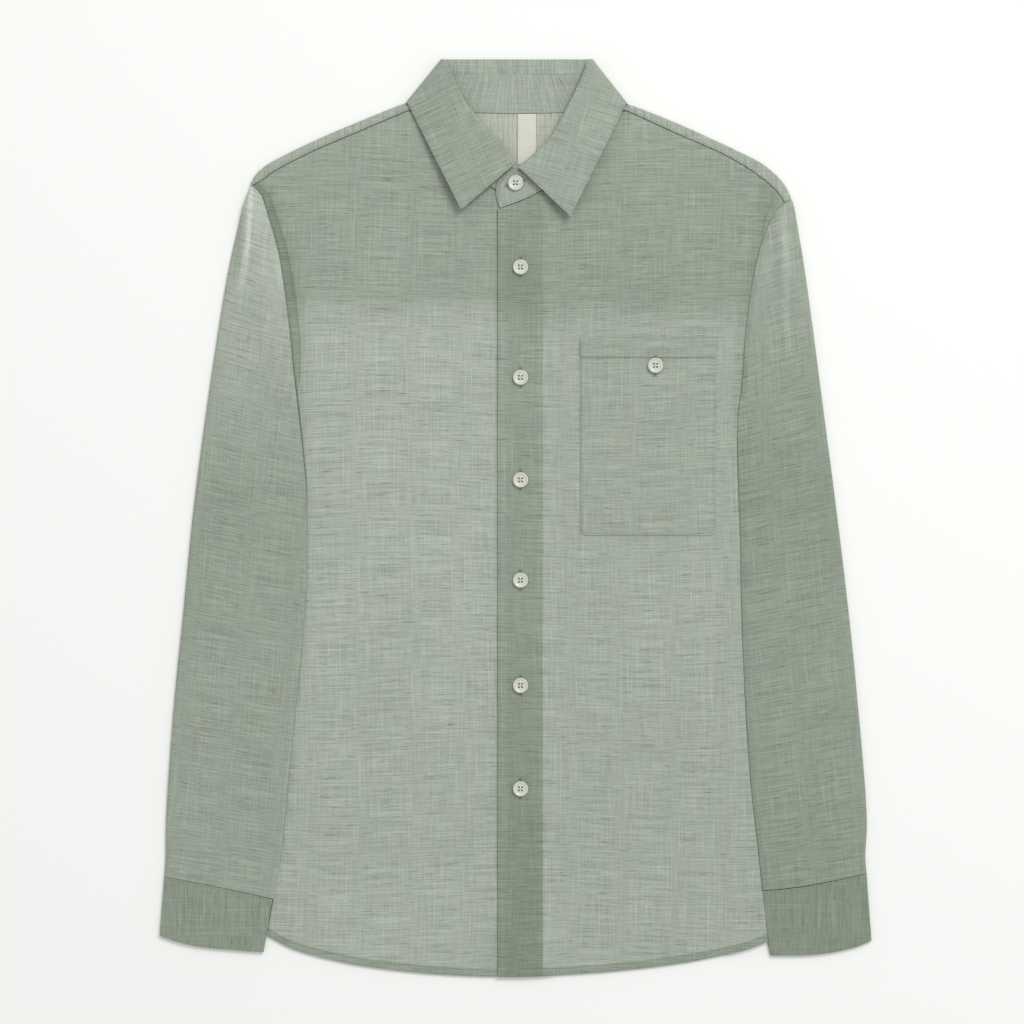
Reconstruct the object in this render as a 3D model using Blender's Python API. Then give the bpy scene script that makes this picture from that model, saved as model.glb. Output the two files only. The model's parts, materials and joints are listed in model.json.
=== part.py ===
"""A men's long-sleeve linen shirt, buttoned up and laid flat on its back.

+X is the wearer's left, +Y runs from the hem to the collar and +Z up from the table.
The back lies on z = 0. Sizes are in millimetres until a mesh is written in metres.
"""

import math
from collections import namedtuple

import bmesh
import bpy
from mathutils import Vector

for old in list(bpy.data.objects):
    bpy.data.objects.remove(old)

# Driving sizes
MM = 0.001
SEAM_GAP = 0.3
LAP_GAP = 0.5
CLOTH = 1.2
LINING = 1.0
PLACKET_EXTRA = 0.6
STAND_CLOTH = 1.4
LEAF_CLOTH = 1.2
CUFF_CLOTH = 1.5
CUFF_HEIGHT = 2 * CUFF_CLOTH + 0.5
SLEEVE_HEIGHT = 4.3
SLEEVE_CLEAR = 0.5

PLACKET_CENTRE = 4.7
PLACKET_WIDTH = 38.6
FREE_EDGE = PLACKET_CENTRE - PLACKET_WIDTH / 2
STITCHED_EDGE = PLACKET_CENTRE + PLACKET_WIDTH / 2
BUTTON_STAND_EDGE = STITCHED_EDGE - 1.6
YOKE_SEAM = 187.0
NECK_CENTRE = 2.5
NECK_BACK = 347.0
NECK_BACK_RISE = 3.2
NECK_HALF = 80.0
STAND_WIDTH = 34.4
ROLL_RADIUS = 1.5
BACK_ROLL_Y = 393.5
HIDDEN_INSET = 1.0
LINING_INSET = 3.2
PLACKET_FALL = 14.0
SIDE_RISE = 1.8

# Levels of the layers, from the table up
LINING_LEVEL = CLOTH + SEAM_GAP
FRONT_LEVEL = CLOTH + SEAM_GAP
YOKE_FRONT_LEVEL = LINING_LEVEL + LINING + SEAM_GAP
SHOULDER_HEIGHT = YOKE_FRONT_LEVEL + CLOTH
STAND_BACK_NECK_Z = 2.2
STAND_BACK_TOP_Z = 3.6
LEAF_BACK_Z = 0.6
LEAF_FREE_Z = SHOULDER_HEIGHT + SEAM_GAP + LEAF_CLOTH / 2
LEAF_SIDE_RISE = 1.4

Place = namedtuple("Place", "x y")

# The hem, from the wearer's right side seam to the left one
HEM = (
    Place(-213.3, -359.1),
    Place(-186.0, -372.5),
    Place(-133.0, -385.0),
    Place(-65.0, -392.6),
    Place(0.0, -394.4),
    Place(73.0, -390.9),
    Place(142.0, -383.0),
    Place(193.0, -372.5),
    Place(217.0, -364.2),
)
# The armholes, from the shoulder seam to the underarm, and the side seams on down to the hem
ARMHOLE = {
    "right": (
        Place(-223.0, 283.0),
        Place(-217.0, 276.0),
        Place(-211.0, 255.0),
        Place(-203.0, 225.0),
        Place(-195.5, 176.0),
        Place(-189.5, 123.0),
        Place(-186.0, 95.0),
    ),
    "left": (
        Place(231.0, 270.0),
        Place(221.5, 259.0),
        Place(210.5, 232.0),
        Place(202.5, 195.0),
        Place(197.5, 155.0),
        Place(194.5, 115.0),
        Place(191.0, 90.0),
    ),
}
SIDE_SEAM = {
    "right": (
        Place(-186.0, 95.0),
        Place(-180.3, 25.0),
        Place(-180.0, -40.0),
        Place(-183.5, -105.0),
        Place(-192.0, -190.0),
        Place(-203.0, -298.0),
        Place(-213.3, -359.1),
    ),
    "left": (
        Place(191.0, 90.0),
        Place(190.5, 50.0),
        Place(193.0, -20.0),
        Place(194.8, -105.0),
        Place(200.5, -210.0),
        Place(209.0, -292.0),
        Place(217.0, -364.2),
    ),
}
# The shoulder fold and the seam where the yoke meets each front, from the neck outwards
SHOULDER_FOLD = {
    "right": (
        Place(-95.8, 355.4),
        Place(-134.2, 340.1),
        Place(-170.3, 324.7),
        Place(-205.5, 307.5),
        Place(-219.3, 298.9),
        Place(-226.5, 290.0),
    ),
    "left": (
        Place(98.6, 354.6),
        Place(135.9, 340.1),
        Place(170.3, 324.7),
        Place(206.4, 307.5),
        Place(228.8, 290.3),
        Place(237.4, 277.0),
    ),
}
FRONT_SEAM = {
    "right": (
        Place(-95.8, 347.4),
        Place(-138.0, 329.5),
        Place(-172.0, 315.0),
        Place(-203.4, 299.0),
        Place(-217.5, 289.5),
        Place(-223.0, 283.0),
    ),
    "left": (
        Place(98.6, 347.6),
        Place(138.5, 329.5),
        Place(174.6, 313.8),
        Place(196.5, 302.3),
        Place(215.9, 289.5),
        Place(231.0, 270.0),
    ),
}
# The front neckline of each front, from its centre edge to the seam with the yoke
NECKLINE = {
    "right": (Place(4.7, 272.0), Place(-16.0, 281.5), Place(-33.0, 293.0), Place(-51.0, 311.0),
              Place(-68.0, 332.0), Place(-81.0, 348.0), Place(-85.7, 355.4)),
    "left": (Place(4.7, 272.0), Place(24.0, 281.5), Place(41.0, 293.0), Place(59.0, 311.0),
             Place(74.5, 332.0), Place(85.5, 348.0), Place(89.4, 354.8)),
}
ROLL_EDGE = {
    "right": (Place(0.3, 303.0), Place(-11.9, 319.4), Place(-27.6, 336.5), Place(-43.3, 356.5),
              Place(-53.0, 374.0), Place(-60.2, 391.7)),
    "left": (Place(3.1, 300.1), Place(13.8, 309.4), Place(23.7, 317.9), Place(33.7, 330.8),
             Place(43.7, 349.3), Place(55.1, 369.3), Place(63.4, 391.5)),
}
LEAF_TIP = {"right": Place(-46.1, 265.5), "left": Place(46.5, 259.7)}
LEAF_CORNER = {"right": Place(-89.7, 353.6), "left": Place(92.6, 352.6)}
SIDE_OUTWARD = {"right": Vector((-0.785, 0.62, 0.0)), "left": Vector((0.785, 0.62, 0.0))}

# The outer edges of the two sleeves, from below the shoulder tips to the cuffs
SleeveRow = namedtuple("SleeveRow", "y right left")
SLEEVE_OUTER = (
    SleeveRow(270.0, -233.9, 239.4),
    SleeveRow(255.9, -237.4, 241.7),
    SleeveRow(221.5, -245.1, 247.7),
    SleeveRow(178.5, -252.8, 253.7),
    SleeveRow(92.5, -264.9, 264.9),
    SleeveRow(6.5, -276.1, 276.1),
    SleeveRow(-79.6, -284.7, 286.4),
    SleeveRow(-165.6, -293.3, 295.0),
    SleeveRow(-251.6, -299.3, 302.0),
    SleeveRow(-290.0, -300.2, 301.0),
)
SHOULDER_TIP = {"right": Place(-227.6, 289.2), "left": Place(238.4, 276.2)}
CUFF_SEAM = {
    "right": (Place(-301.2, -308.2), Place(-254.0, -317.5), Place(-208.4, -327.5)),
    "left": (Place(302.2, -306.6), Place(258.0, -315.0), Place(215.0, -320.6)),
}
CUFF_EDGE = {
    "right": (Place(-305.3, -357.6), Place(-277.0, -367.5), Place(-217.9, -373.8)),
    "left": (Place(306.3, -363.4), Place(272.4, -372.6), Place(220.6, -376.9)),
}

POCKET_LEFT, POCKET_RIGHT = 55.9, 172.0
POCKET_TOP, POCKET_BOTTOM = 153.9, -15.5
POCKET_HEM = 16.5
POCKET_CORNER = 6.0
LABEL_LEFT, LABEL_RIGHT, LABEL_END = 2.2, 18.0, 303.0
BUTTON_RADIUS = 6.7
BUTTON_HEIGHT = 2.8
PLACKET_BUTTONS = (214.6, 120.0, 32.2, -53.8, -144.0, -232.6)
NECK_BUTTON = Place(0.4, 286.8)
POCKET_BUTTON = Place(120.4, 130.3)

# The soft folds that stand up in the laid cloth: ends, width either side and height.
# Each fades out over a share of its length at both ends.
FOLD_END_SHARE = 0.35
Fold = namedtuple("Fold", "x0 y0 x1 y1 width height")
BODY_FOLDS = (
    Fold(-150, 240, -110, 60, 20, 0.7),
    Fold(-70, 120, -95, -190, 24, 0.8),
    Fold(-165, -60, -140, -300, 18, 0.9),
    Fold(-45, -120, -60, -330, 20, 0.7),
    Fold(60, 260, 120, 190, 22, 0.6),
    Fold(165, 130, 150, -60, 18, 0.5),
    Fold(60, -60, 85, -300, 24, 0.8),
    Fold(165, -120, 150, -330, 20, 0.9),
)
SLEEVE_FOLDS = {
    "right": (
        Fold(-226, 272, -236, 196, 9, 1.6),
        Fold(-216, 230, -206, 196, 8, 1.1),
        Fold(-240, 120, -230, -20, 20, 1.0),
        Fold(-215, -60, -250, -190, 22, 1.2),
        Fold(-270, -150, -262, -285, 16, 1.1),
    ),
    "left": (
        Fold(228, 240, 243, 90, 12, 1.5),
        Fold(222, 60, 240, -60, 20, 0.9),
        Fold(262, -40, 250, -180, 22, 1.2),
        Fold(262, -190, 270, -290, 16, 1.1),
    ),
}

# Curves and lines in the plan


def smooth_line(places, steps=12):
    """A smooth line through a few places, with straight runs of a few millimetres."""
    points = [Vector(p) for p in places]
    points = [2 * points[0] - points[1]] + points + [2 * points[-1] - points[-2]]
    line = []
    for a, b, c, d in zip(points, points[1:], points[2:], points[3:]):
        for k in range(steps):
            t = k / steps
            line.append(b + (c - a) * t / 2 + (2 * a - 5 * b + 4 * c - d) * t * t / 2
                        + (3 * b - a - 3 * c + d) * t ** 3 / 2)
    line.append(points[-2])
    return line


def spaced(line, count):
    """The line again, as count equal runs."""
    far = [0.0]
    for a, b in zip(line, line[1:]):
        far.append(far[-1] + (b - a).length)
    result = []
    k = 0
    for i in range(count + 1):
        want = far[-1] * i / count
        while k < len(line) - 2 and far[k + 1] < want:
            k += 1
        share = (want - far[k]) / (far[k + 1] - far[k])
        result.append(line[k].lerp(line[k + 1], min(max(share, 0.0), 1.0)))
    return result


def y_at(line, x):
    """The height in the plan of a line that runs across, at x."""
    ordered = sorted(line, key=lambda p: p.x)
    x = min(max(x, ordered[0].x), ordered[-1].x)
    for a, b in zip(ordered, ordered[1:]):
        if x <= b.x:
            return a.y + (b.y - a.y) * (x - a.x) / max(b.x - a.x, 1e-9)
    return ordered[-1].y


def ease(share):
    share = min(max(share, 0.0), 1.0)
    return share * share * (3 - 2 * share)


def fold_lift(folds, x, y):
    """How far soft folds lift the cloth at a place: a bell across each, faded at its ends."""
    lift = 0.0
    for f in folds:
        run = Vector((f.x1 - f.x0, f.y1 - f.y0))
        off = Vector((x - f.x0, y - f.y0))
        share = off.dot(run) / run.length_squared
        across = abs(off.x * run.y - off.y * run.x) / run.length
        fade = ease(share / FOLD_END_SHARE) * ease((1 - share) / FOLD_END_SHARE)
        lift += f.height * fade * math.exp(-((across / f.width) ** 2))
    return lift


# Walls

SHARP_FOLD = math.radians(40)
SHARP_RIM = math.radians(50)


def material(name, colour, roughness):
    made = bpy.data.materials.new(name)
    made.use_nodes = True
    shader = made.node_tree.nodes["Principled BSDF"]
    shader.inputs["Base Color"].default_value = (*colour, 1.0)
    shader.inputs["Roughness"].default_value = roughness
    shader.inputs["Metallic"].default_value = 0.0
    return made


def wall(name, under, over, colour, roughness=0.85, around=False, keep=None):
    """One closed body between two grids of points, its free edges joined. A ring goes around."""
    rows = len(under)
    columns = len(under[0])
    mesh = bmesh.new()
    low = [[mesh.verts.new(Vector(p) * MM) for p in row] for row in under]
    high = [[mesh.verts.new(Vector(p) * MM) for p in row] for row in over]
    cells = set()
    for r in range(rows - 1):
        for c in range(columns if around else columns - 1):
            if keep is None or keep(r, c):
                cells.add((r, c))

    def corner(grid, r, c):
        return grid[r][c % columns]

    def neighbour(r, c):
        return (r, c % columns) if around else (r, c)

    for r, c in cells:
        places = ((r, c), (r, c + 1), (r + 1, c + 1), (r + 1, c))
        for grid, turns in ((high, ((0, 1, 2), (0, 2, 3))), (low, ((0, 2, 1), (0, 3, 2)))):
            for turn in turns:
                mesh.faces.new([corner(grid, *places[k]) for k in turn])
        beside = ((r - 1, c), (r, c + 1), (r + 1, c), (r, c - 1))
        for k, other in enumerate(beside):
            if neighbour(*other) not in cells:
                a = places[k]
                b = places[(k + 1) % 4]
                mesh.faces.new([corner(low, *a), corner(low, *b), corner(high, *b), corner(high, *a)])
    bmesh.ops.delete(mesh, geom=[v for v in mesh.verts if not v.link_faces], context="VERTS")
    bmesh.ops.recalc_face_normals(mesh, faces=mesh.faces)
    data = bpy.data.meshes.new(name)
    mesh.to_mesh(data)
    mesh.free()
    data.materials.append(material(name, colour, roughness))
    data.shade_smooth()
    data.set_sharp_from_angle(angle=SHARP_FOLD)
    piece = bpy.data.objects.new(name, data)
    bpy.context.collection.objects.link(piece)
    return piece


def layer(name, plan, level, thickness, colour, keep=None):
    """A wall whose underside follows level(x, y) and whose thickness may vary the same way."""
    under = [[(p.x, p.y, level(p.x, p.y)) for p in row] for row in plan]
    over = [[(p.x, p.y, level(p.x, p.y) + thickness(p.x, p.y)) for p in row] for row in plan]
    return wall(name, under, over, colour, keep=keep)


def even(thickness):
    return lambda x, y: thickness


# Body

SAGE = (0.33, 0.38, 0.31)
SAGE_LIGHT = (0.36, 0.41, 0.34)
ECRU = (0.45, 0.46, 0.40)
STONE = (0.62, 0.63, 0.56)
SIDES = ("right", "left")

ARMHOLE_RUNS = 9
SIDE_RUNS = 18
SHOULDER_RUNS = 6

armhole_line = {side: spaced(smooth_line(ARMHOLE[side]), ARMHOLE_RUNS) for side in SIDES}
side_line = {side: spaced(smooth_line(SIDE_SEAM[side]), SIDE_RUNS) for side in SIDES}
fold_line = {side: spaced(smooth_line(SHOULDER_FOLD[side]), SHOULDER_RUNS) for side in SIDES}
seam_line = {side: spaced(smooth_line(FRONT_SEAM[side]), SHOULDER_RUNS) for side in SIDES}
body_edge = {side: side_line[side][::-1] + armhole_line[side][::-1][1:] for side in SIDES}
hem_line = smooth_line(HEM)

LINE_WIDTH = 0.1
# Where the folds of the fronts end below the shoulders and beside the placket
FOLD_TOP, FOLD_TOP_FADE = 250.0, 60.0
FOLD_CLEAR, FOLD_SIDE_FADE = 22.0, 30.0
# Where the fronts step up on to the yoke, and where the left one rises beside its sleeve
YOKE_STEP_START, YOKE_STEP_RUN = YOKE_SEAM - 117.0, 42.0
SIDE_RISE_RUN, SIDE_RISE_TOP, SIDE_RISE_FADE = 18.0, 80.0, 40.0


def body_lift(x, y):
    """The folds of the fronts, faded out at the shoulders and beside the placket."""
    fade = ease((FOLD_TOP - y) / FOLD_TOP_FADE)
    fade *= ease((abs(x - PLACKET_CENTRE) - FOLD_CLEAR) / FOLD_SIDE_FADE)
    return fold_lift(BODY_FOLDS, x, y) * fade


def right_front_level(x, y):
    """The underside of the fronts, which step up where they lie on the two yoke layers."""
    on_yoke = ease((y - YOKE_STEP_START) / YOKE_STEP_RUN)
    return FRONT_LEVEL + (YOKE_FRONT_LEVEL - FRONT_LEVEL) * on_yoke + body_lift(x, y)


def left_front_level(x, y):
    """As the right front, and up over it at the placket and beside the sleeve that it laps."""
    lapped = 1 - ease((x - STITCHED_EDGE) / PLACKET_FALL)
    side_rise = SIDE_RISE * ease((x - POCKET_RIGHT) / SIDE_RISE_RUN)
    side_rise *= ease((SIDE_RISE_TOP - y) / SIDE_RISE_FADE)
    return right_front_level(x, y) + (CLOTH + LAP_GAP) * lapped + side_rise


def left_front_thickness(x, y):
    return CLOTH + (PLACKET_EXTRA if x < STITCHED_EDGE - LINE_WIDTH else 0.0)


def front_plan(side, straight, neck):
    """A front's grid: straight columns, one on the way to the side, then the side itself."""
    edge = body_edge[side]
    last = len(edge) - 1
    top = neck + seam_line[side]
    plan = []
    for row in range(last + 1):
        points = []
        for x in straight:
            low = y_at(hem_line, x)
            points.append(Vector((x, low + (y_at(top, x) - low) * row / last)))
        between = points[-1].lerp(edge[row], 0.5)
        if row == last:
            between.y = y_at(seam_line[side], between.x)
        plan.append(points + [between, edge[row]])
    return plan


def neck_edge(side):
    """A front's neck edge, just outside the line where the collar stand begins."""
    outward = Vector((-0.7, -0.9)) if side == "right" else Vector((0.7, -0.9))
    line = [Vector(p) + outward for p in NECKLINE[side][:-1]]
    lapped = Vector((2 * PLACKET_CENTRE - line[1].x, 2 * line[0].y - line[1].y))
    return [lapped] + line


RIGHT_COLUMNS = (BUTTON_STAND_EDGE, PLACKET_CENTRE, -14.0, -34.0, -54.0, -74.0, -95.8, -117.0, -138.0,
                 -160.0)
PLACKET_STEP = 0.6
LEFT_COLUMNS = (FREE_EDGE, PLACKET_CENTRE, STITCHED_EDGE - PLACKET_STEP, STITCHED_EDGE,
                STITCHED_EDGE + PLACKET_FALL, POCKET_LEFT, 75.3, 98.6, 118.0, 137.5, 156.0, POCKET_RIGHT)
layer("right_front", front_plan("right", RIGHT_COLUMNS, neck_edge("right")),
      right_front_level, even(CLOTH), SAGE)
left_plan = front_plan("left", LEFT_COLUMNS, neck_edge("left"))
layer("left_front", left_plan, left_front_level, left_front_thickness, SAGE)


def edge_x(side, y):
    """How far out the body reaches on a side, at a height in the plan."""
    edge = body_edge[side]
    for a, b in zip(edge, edge[1:]):
        if y <= b.y:
            return a.x + (b.x - a.x) * (y - a.y) / (b.y - a.y)
    return edge[-1].x


# The body's edge, as a share of how far out its last straight column lies
BODY_REACH = 1.2


def across(low, high, rows, straight, inset):
    """A grid from one side of the body to the other, between a lower and an upper line."""
    plan = []
    for row in range(rows + 1):
        share = row / rows
        points = []
        for end, side in ((straight[0], "right"), (straight[-1], "left")):
            y = low(end * BODY_REACH) + (high(end * BODY_REACH) - low(end * BODY_REACH)) * share
            points.append(Vector((edge_x(side, y) - math.copysign(inset, end), y)))
        middle = [Vector((x, low(x) + (high(x) - low(x)) * share)) for x in straight]
        plan.append([points[0]] + middle + [points[1]])
    return plan


BACK_COLUMN_WIDTH = 27.0
BACK_ROWS = 12
back_columns = [k * BACK_COLUMN_WIDTH for k in range(-6, 7)]
back_plan = across(lambda x: y_at(hem_line, x), lambda x: YOKE_SEAM, BACK_ROWS, back_columns, HIDDEN_INSET)
layer("back_panel", back_plan, even(0.0), even(CLOTH), SAGE)


# Yoke: two layers between the back and the shoulders, the outer one folded over on to the fronts

FoldRow = namedtuple("FoldRow", "outer_in outer_z inner_in inner_z")
SHOULDER_SECTION = (
    FoldRow(1.6, 0.0, 2.2, CLOTH),
    FoldRow(0.45, 0.6, 1.5, 1.5),
    FoldRow(0.0, SHOULDER_HEIGHT / 2, 1.2, SHOULDER_HEIGHT / 2),
    FoldRow(0.45, SHOULDER_HEIGHT - 0.6, 1.5, SHOULDER_HEIGHT - 1.5),
    FoldRow(1.6, SHOULDER_HEIGHT, 2.2, YOKE_FRONT_LEVEL),
)
YOKE_ROWS = 5
NECK_COLUMNS = (-80.0, -60.0, -40.0, -20.0, 0.0, 20.0, 40.0, 60.0, 80.0)
# How much closer together the columns below the neck stand at the back seam
NECK_FOOT_SHARE = 0.87


def neck_back(x):
    return NECK_BACK + NECK_BACK_RISE * ((x - NECK_CENTRE) / NECK_HALF) ** 2


def yoke_columns(inset):
    """For each column of the yoke, its foot on the back seam, its top and its way inwards."""
    columns = []
    for side, order in (("right", -1), ("left", 1)):
        reach = abs(fold_line[side][-1].x)
        foot_reach = abs(edge_x(side, YOKE_SEAM)) - inset
        stations = list(zip(fold_line[side], seam_line[side]))[::order]
        for fold, seam in stations:
            foot = Vector((fold.x * foot_reach / reach, YOKE_SEAM + SEAM_GAP))
            columns.append((foot, fold, (seam - fold).normalized(), (seam - fold).length, side))
        if side == "right":
            for x in NECK_COLUMNS:
                foot = Vector((x * NECK_FOOT_SHARE, YOKE_SEAM + SEAM_GAP))
                columns.append((foot, Vector((x, neck_back(x))), None, 0.0, side))
    return columns


def yoke_grids():
    columns = yoke_columns(0.0)
    outer = [[] for _ in range(YOKE_ROWS + len(SHOULDER_SECTION) + 1)]
    inner = [[] for _ in outer]
    for k, (foot, top, inward, strip, side) in enumerate(columns):
        at_side = k in (0, len(columns) - 1)
        for grid, reach, level in ((outer, "outer_in", 0.0), (inner, "inner_in", CLOTH)):
            first = getattr(SHOULDER_SECTION[0], reach)
            end = top + inward * first if inward else top
            for row in range(YOKE_ROWS):
                p = foot.lerp(end, row / YOKE_ROWS)
                if at_side:
                    p.x = edge_x(side, p.y) - math.copysign(HIDDEN_INSET, p.x)
                grid[row].append((p.x, p.y, level))
            for j, section in enumerate(SHOULDER_SECTION):
                p = top + inward * getattr(section, reach) if inward else top
                z = getattr(section, reach.replace("_in", "_z"))
                grid[YOKE_ROWS + j].append((p.x, p.y, z))
            p = top + inward * (strip - 2 * SEAM_GAP) if inward else top
            grid[-1].append((p.x, p.y, SHOULDER_HEIGHT if reach == "outer_in" else YOKE_FRONT_LEVEL))
    return outer, inner


def yoke_cell(row, column):
    """The neck columns end at the neckline. The others go on over the shoulder fold."""
    over_neck = SHOULDER_RUNS <= column < SHOULDER_RUNS + len(NECK_COLUMNS) + 1
    return row < YOKE_ROWS or not over_neck


wall("yoke", *yoke_grids(), SAGE, keep=yoke_cell)
lining_columns = yoke_columns(LINING_INSET)
lining_plan = []
for row in range(YOKE_ROWS + 1):
    points = []
    for k, (foot, top, inward, _, side) in enumerate(lining_columns):
        end = top + inward * LINING_INSET if inward else top
        p = foot.lerp(end, row / YOKE_ROWS)
        if k in (0, len(lining_columns) - 1):
            p.x = edge_x(side, p.y) + (LINING_INSET if side == "right" else -LINING_INSET)
        points.append(p)
    lining_plan.append(points)
layer("yoke_lining", lining_plan, even(LINING_LEVEL), even(LINING), ECRU)

# Pocket and label

# How far the pocket's rows keep from its bottom and its hem, and how its lower corners come in and up
POCKET_CLEAR_BOTTOM, POCKET_CLEAR_HEM, POCKET_HEM_STEP = 2.0, 4.0, 0.6
CORNER_IN_SHARE, CORNER_UP_SHARE = POCKET_CORNER / 38.0, 0.3
LABEL_TOP_GAP = 0.5
LABEL_SHARES = (0.0, 0.35, 0.7, 1.0)


def left_front_top(x, y):
    return left_front_level(x, y) + left_front_thickness(x, y)


def on_left_front(column, y):
    """A place on the left front's outer face, on one of its columns, between two of its rows."""
    for row, above in zip(left_plan, left_plan[1:]):
        a = row[column]
        b = above[column]
        if a.y <= y <= b.y:
            share = (y - a.y) / (b.y - a.y)
            z = left_front_top(*a) + (left_front_top(*b) - left_front_top(*a)) * share
            return Vector((a.x, y, z))
    raise ValueError("off the left front")


def pocket():
    """The pocket, on the left front's own columns and rows, with its lower corners rounded."""
    columns = [k for k, x in enumerate(LEFT_COLUMNS) if x >= POCKET_LEFT]
    hem = POCKET_TOP - POCKET_HEM
    levels = [[POCKET_BOTTOM] * len(columns)]
    for row in left_plan:
        ys = [row[k].y for k in columns]
        if min(ys) > POCKET_BOTTOM + POCKET_CLEAR_BOTTOM and max(ys) < hem - POCKET_CLEAR_HEM:
            levels.append(ys)
    levels += [[y] * len(columns) for y in (hem - POCKET_HEM_STEP, hem, POCKET_TOP)]
    under = []
    over = []
    for row, ys in enumerate(levels):
        thickness = CLOTH + (PLACKET_EXTRA if row >= len(levels) - 2 else 0.0)
        places = [on_left_front(k, y) for k, y in zip(columns, ys)]
        if row == 0:
            for end, inward in ((0, 1), (-1, -1)):
                inner = places[end].lerp(places[end + inward], CORNER_IN_SHARE)
                places[end] = inner + Vector((0.0, POCKET_CORNER * CORNER_UP_SHARE, 0.0))
        under.append([p + Vector((0.0, 0.0, SEAM_GAP)) for p in places])
        over.append([p + Vector((0.0, 0.0, SEAM_GAP + thickness)) for p in places])
    return under, over


pocket_under, pocket_over = pocket()
wall("chest_pocket", pocket_under, pocket_over, SAGE)

LABEL_LEVEL = LINING_LEVEL + LINING + SEAM_GAP
label_plan = []
for share in LABEL_SHARES:
    y = LABEL_END + (neck_back(LABEL_LEFT) - LABEL_TOP_GAP - LABEL_END) * share
    label_plan.append([Vector((x, y)) for x in (LABEL_LEFT, (LABEL_LEFT + LABEL_RIGHT) / 2, LABEL_RIGHT)])
layer("neck_label", label_plan, even(LABEL_LEVEL), even(LINING), ECRU)


# Collar: a stand sewn round the neckline and a leaf that rolls over it and falls outside

FRONT_RUNGS = 6
BACK_RUNGS = 8
# How much of the way across the back the collar takes to come straight
BACK_BOW_SHARE = 0.25

# Heights round each front half of the collar, from the centre front to the side of the neck
CollarRow = namedtuple("CollarRow", "roll_in neck_right neck_left top_right top_left seam")
COLLAR_ROWS = (
    CollarRow(4.0, 3.5, 5.2, 3.5, 5.2, 6.9),
    CollarRow(5.2, 3.5, 5.0, 4.5, 5.2, 6.6),
    CollarRow(6.4, 3.5, 3.8, 5.5, 5.8, 6.6),
    CollarRow(7.6, 3.6, 3.6, 6.3, 6.4, 6.9),
    CollarRow(8.8, 3.8, 3.8, 7.0, 7.0, 7.2),
    CollarRow(10.0, 4.2, 4.2, 7.4, 7.4, 7.4),
    CollarRow(11.0, 4.5, 4.5, 7.6, 7.6, 7.6),
)
# The stand, top edge and neck edge, and the leaf's free edge, top edge and its way out
Rung = namedtuple("Rung", "neck top free seam roll outward")


def flat(place, z):
    return Vector((place[0], place[1], z))


def front_rungs(side):
    """From the centre front to the side of the neck."""
    roll = spaced(smooth_line(ROLL_EDGE[side]), FRONT_RUNGS)
    neck = spaced(smooth_line(NECKLINE[side]), FRONT_RUNGS)
    tip = Vector(LEAF_TIP[side])
    corner = Vector(LEAF_CORNER[side])
    rungs = []
    for k, row in enumerate(COLLAR_ROWS):
        way = roll[min(k + 1, FRONT_RUNGS)] - roll[max(k - 1, 0)]
        aside = Vector((way.y, -way.x)).normalized()
        if aside.y > 0:
            aside = -aside
        aside = aside.lerp((corner - roll[-1]).normalized(), ease((k - 2) / 4)).normalized()
        seam = roll[k] + aside * row.roll_in
        free_z = LEAF_FREE_Z + LEAF_SIDE_RISE * ease((k - 3) / 3)
        rungs.append(Rung(
            neck=flat(neck[k], getattr(row, "neck_" + side)),
            top=flat(seam, getattr(row, "top_" + side)),
            free=flat(tip.lerp(corner, k / FRONT_RUNGS), free_z),
            seam=flat(seam, row.seam),
            roll=flat(roll[k], row.seam),
            outward=Vector((0.0, 0.0, 1.0)),
        ))
    return rungs


def side_rungs(front, side):
    """Round the side of the neck, where the collar folds from the front to the back."""
    outward = SIDE_OUTWARD[side]
    rungs = []
    for k in range(1, 5):
        angle = math.pi * k / 4
        places = []
        for place, back in ((front.neck, STAND_BACK_NECK_Z), (front.top, STAND_BACK_TOP_Z),
                            (front.free, LEAF_BACK_Z), (front.seam, STAND_BACK_TOP_Z),
                            (front.roll, STAND_BACK_TOP_Z)):
            radius = (place.z - back) / 2
            centre = Vector((place.x, place.y, (place.z + back) / 2))
            places.append(centre + outward * radius * math.sin(angle)
                          + Vector((0.0, 0.0, radius * math.cos(angle))))
        rungs.append(Rung(*places, outward * math.sin(angle) + Vector((0.0, 0.0, math.cos(angle)))))
    return rungs


def back_rungs(first, last):
    """Across the back of the neck, between the side folds."""
    rungs = []
    for k in range(1, BACK_RUNGS):
        share = k / BACK_RUNGS
        straight = [a.lerp(b, share) for a, b in zip(first[:5], last[:5])]
        bow = ease(min(share, 1 - share) / BACK_BOW_SHARE)
        neck, top, free, seam, roll = straight
        neck.y += (neck_back(neck.x) + SEAM_GAP - neck.y) * bow
        free.y += (neck_back(free.x) + 4 * SEAM_GAP - free.y) * bow
        top.y += (NECK_BACK + STAND_WIDTH - top.y) * bow
        seam.y = top.y
        roll.y += (BACK_ROLL_Y - roll.y) * bow
        rungs.append(Rung(neck, top, free, seam, roll, Vector((0.0, 0.0, -1.0))))
    return rungs


half = {side: front_rungs(side) for side in SIDES}
turn = {side: side_rungs(half[side][-1], side) for side in SIDES}
ring = half["left"] + turn["left"] + back_rungs(turn["left"][-1], turn["right"][-1])
ring += turn["right"][::-1] + half["right"][::-1]


def thick(name, grid, thickness, colour):
    """A wall of even thickness about a grid of points on its middle surface."""
    rows = len(grid)
    columns = len(grid[0])
    under = []
    over = []
    for r in range(rows):
        under.append([])
        over.append([])
        for c in range(columns):
            along = grid[min(r + 1, rows - 1)][c] - grid[max(r - 1, 0)][c]
            up = grid[r][min(c + 1, columns - 1)] - grid[r][max(c - 1, 0)]
            normal = along.cross(up).normalized() * thickness / 2
            under[-1].append(grid[r][c] - normal)
            over[-1].append(grid[r][c] + normal)
    return wall(name, under, over, colour)


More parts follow.
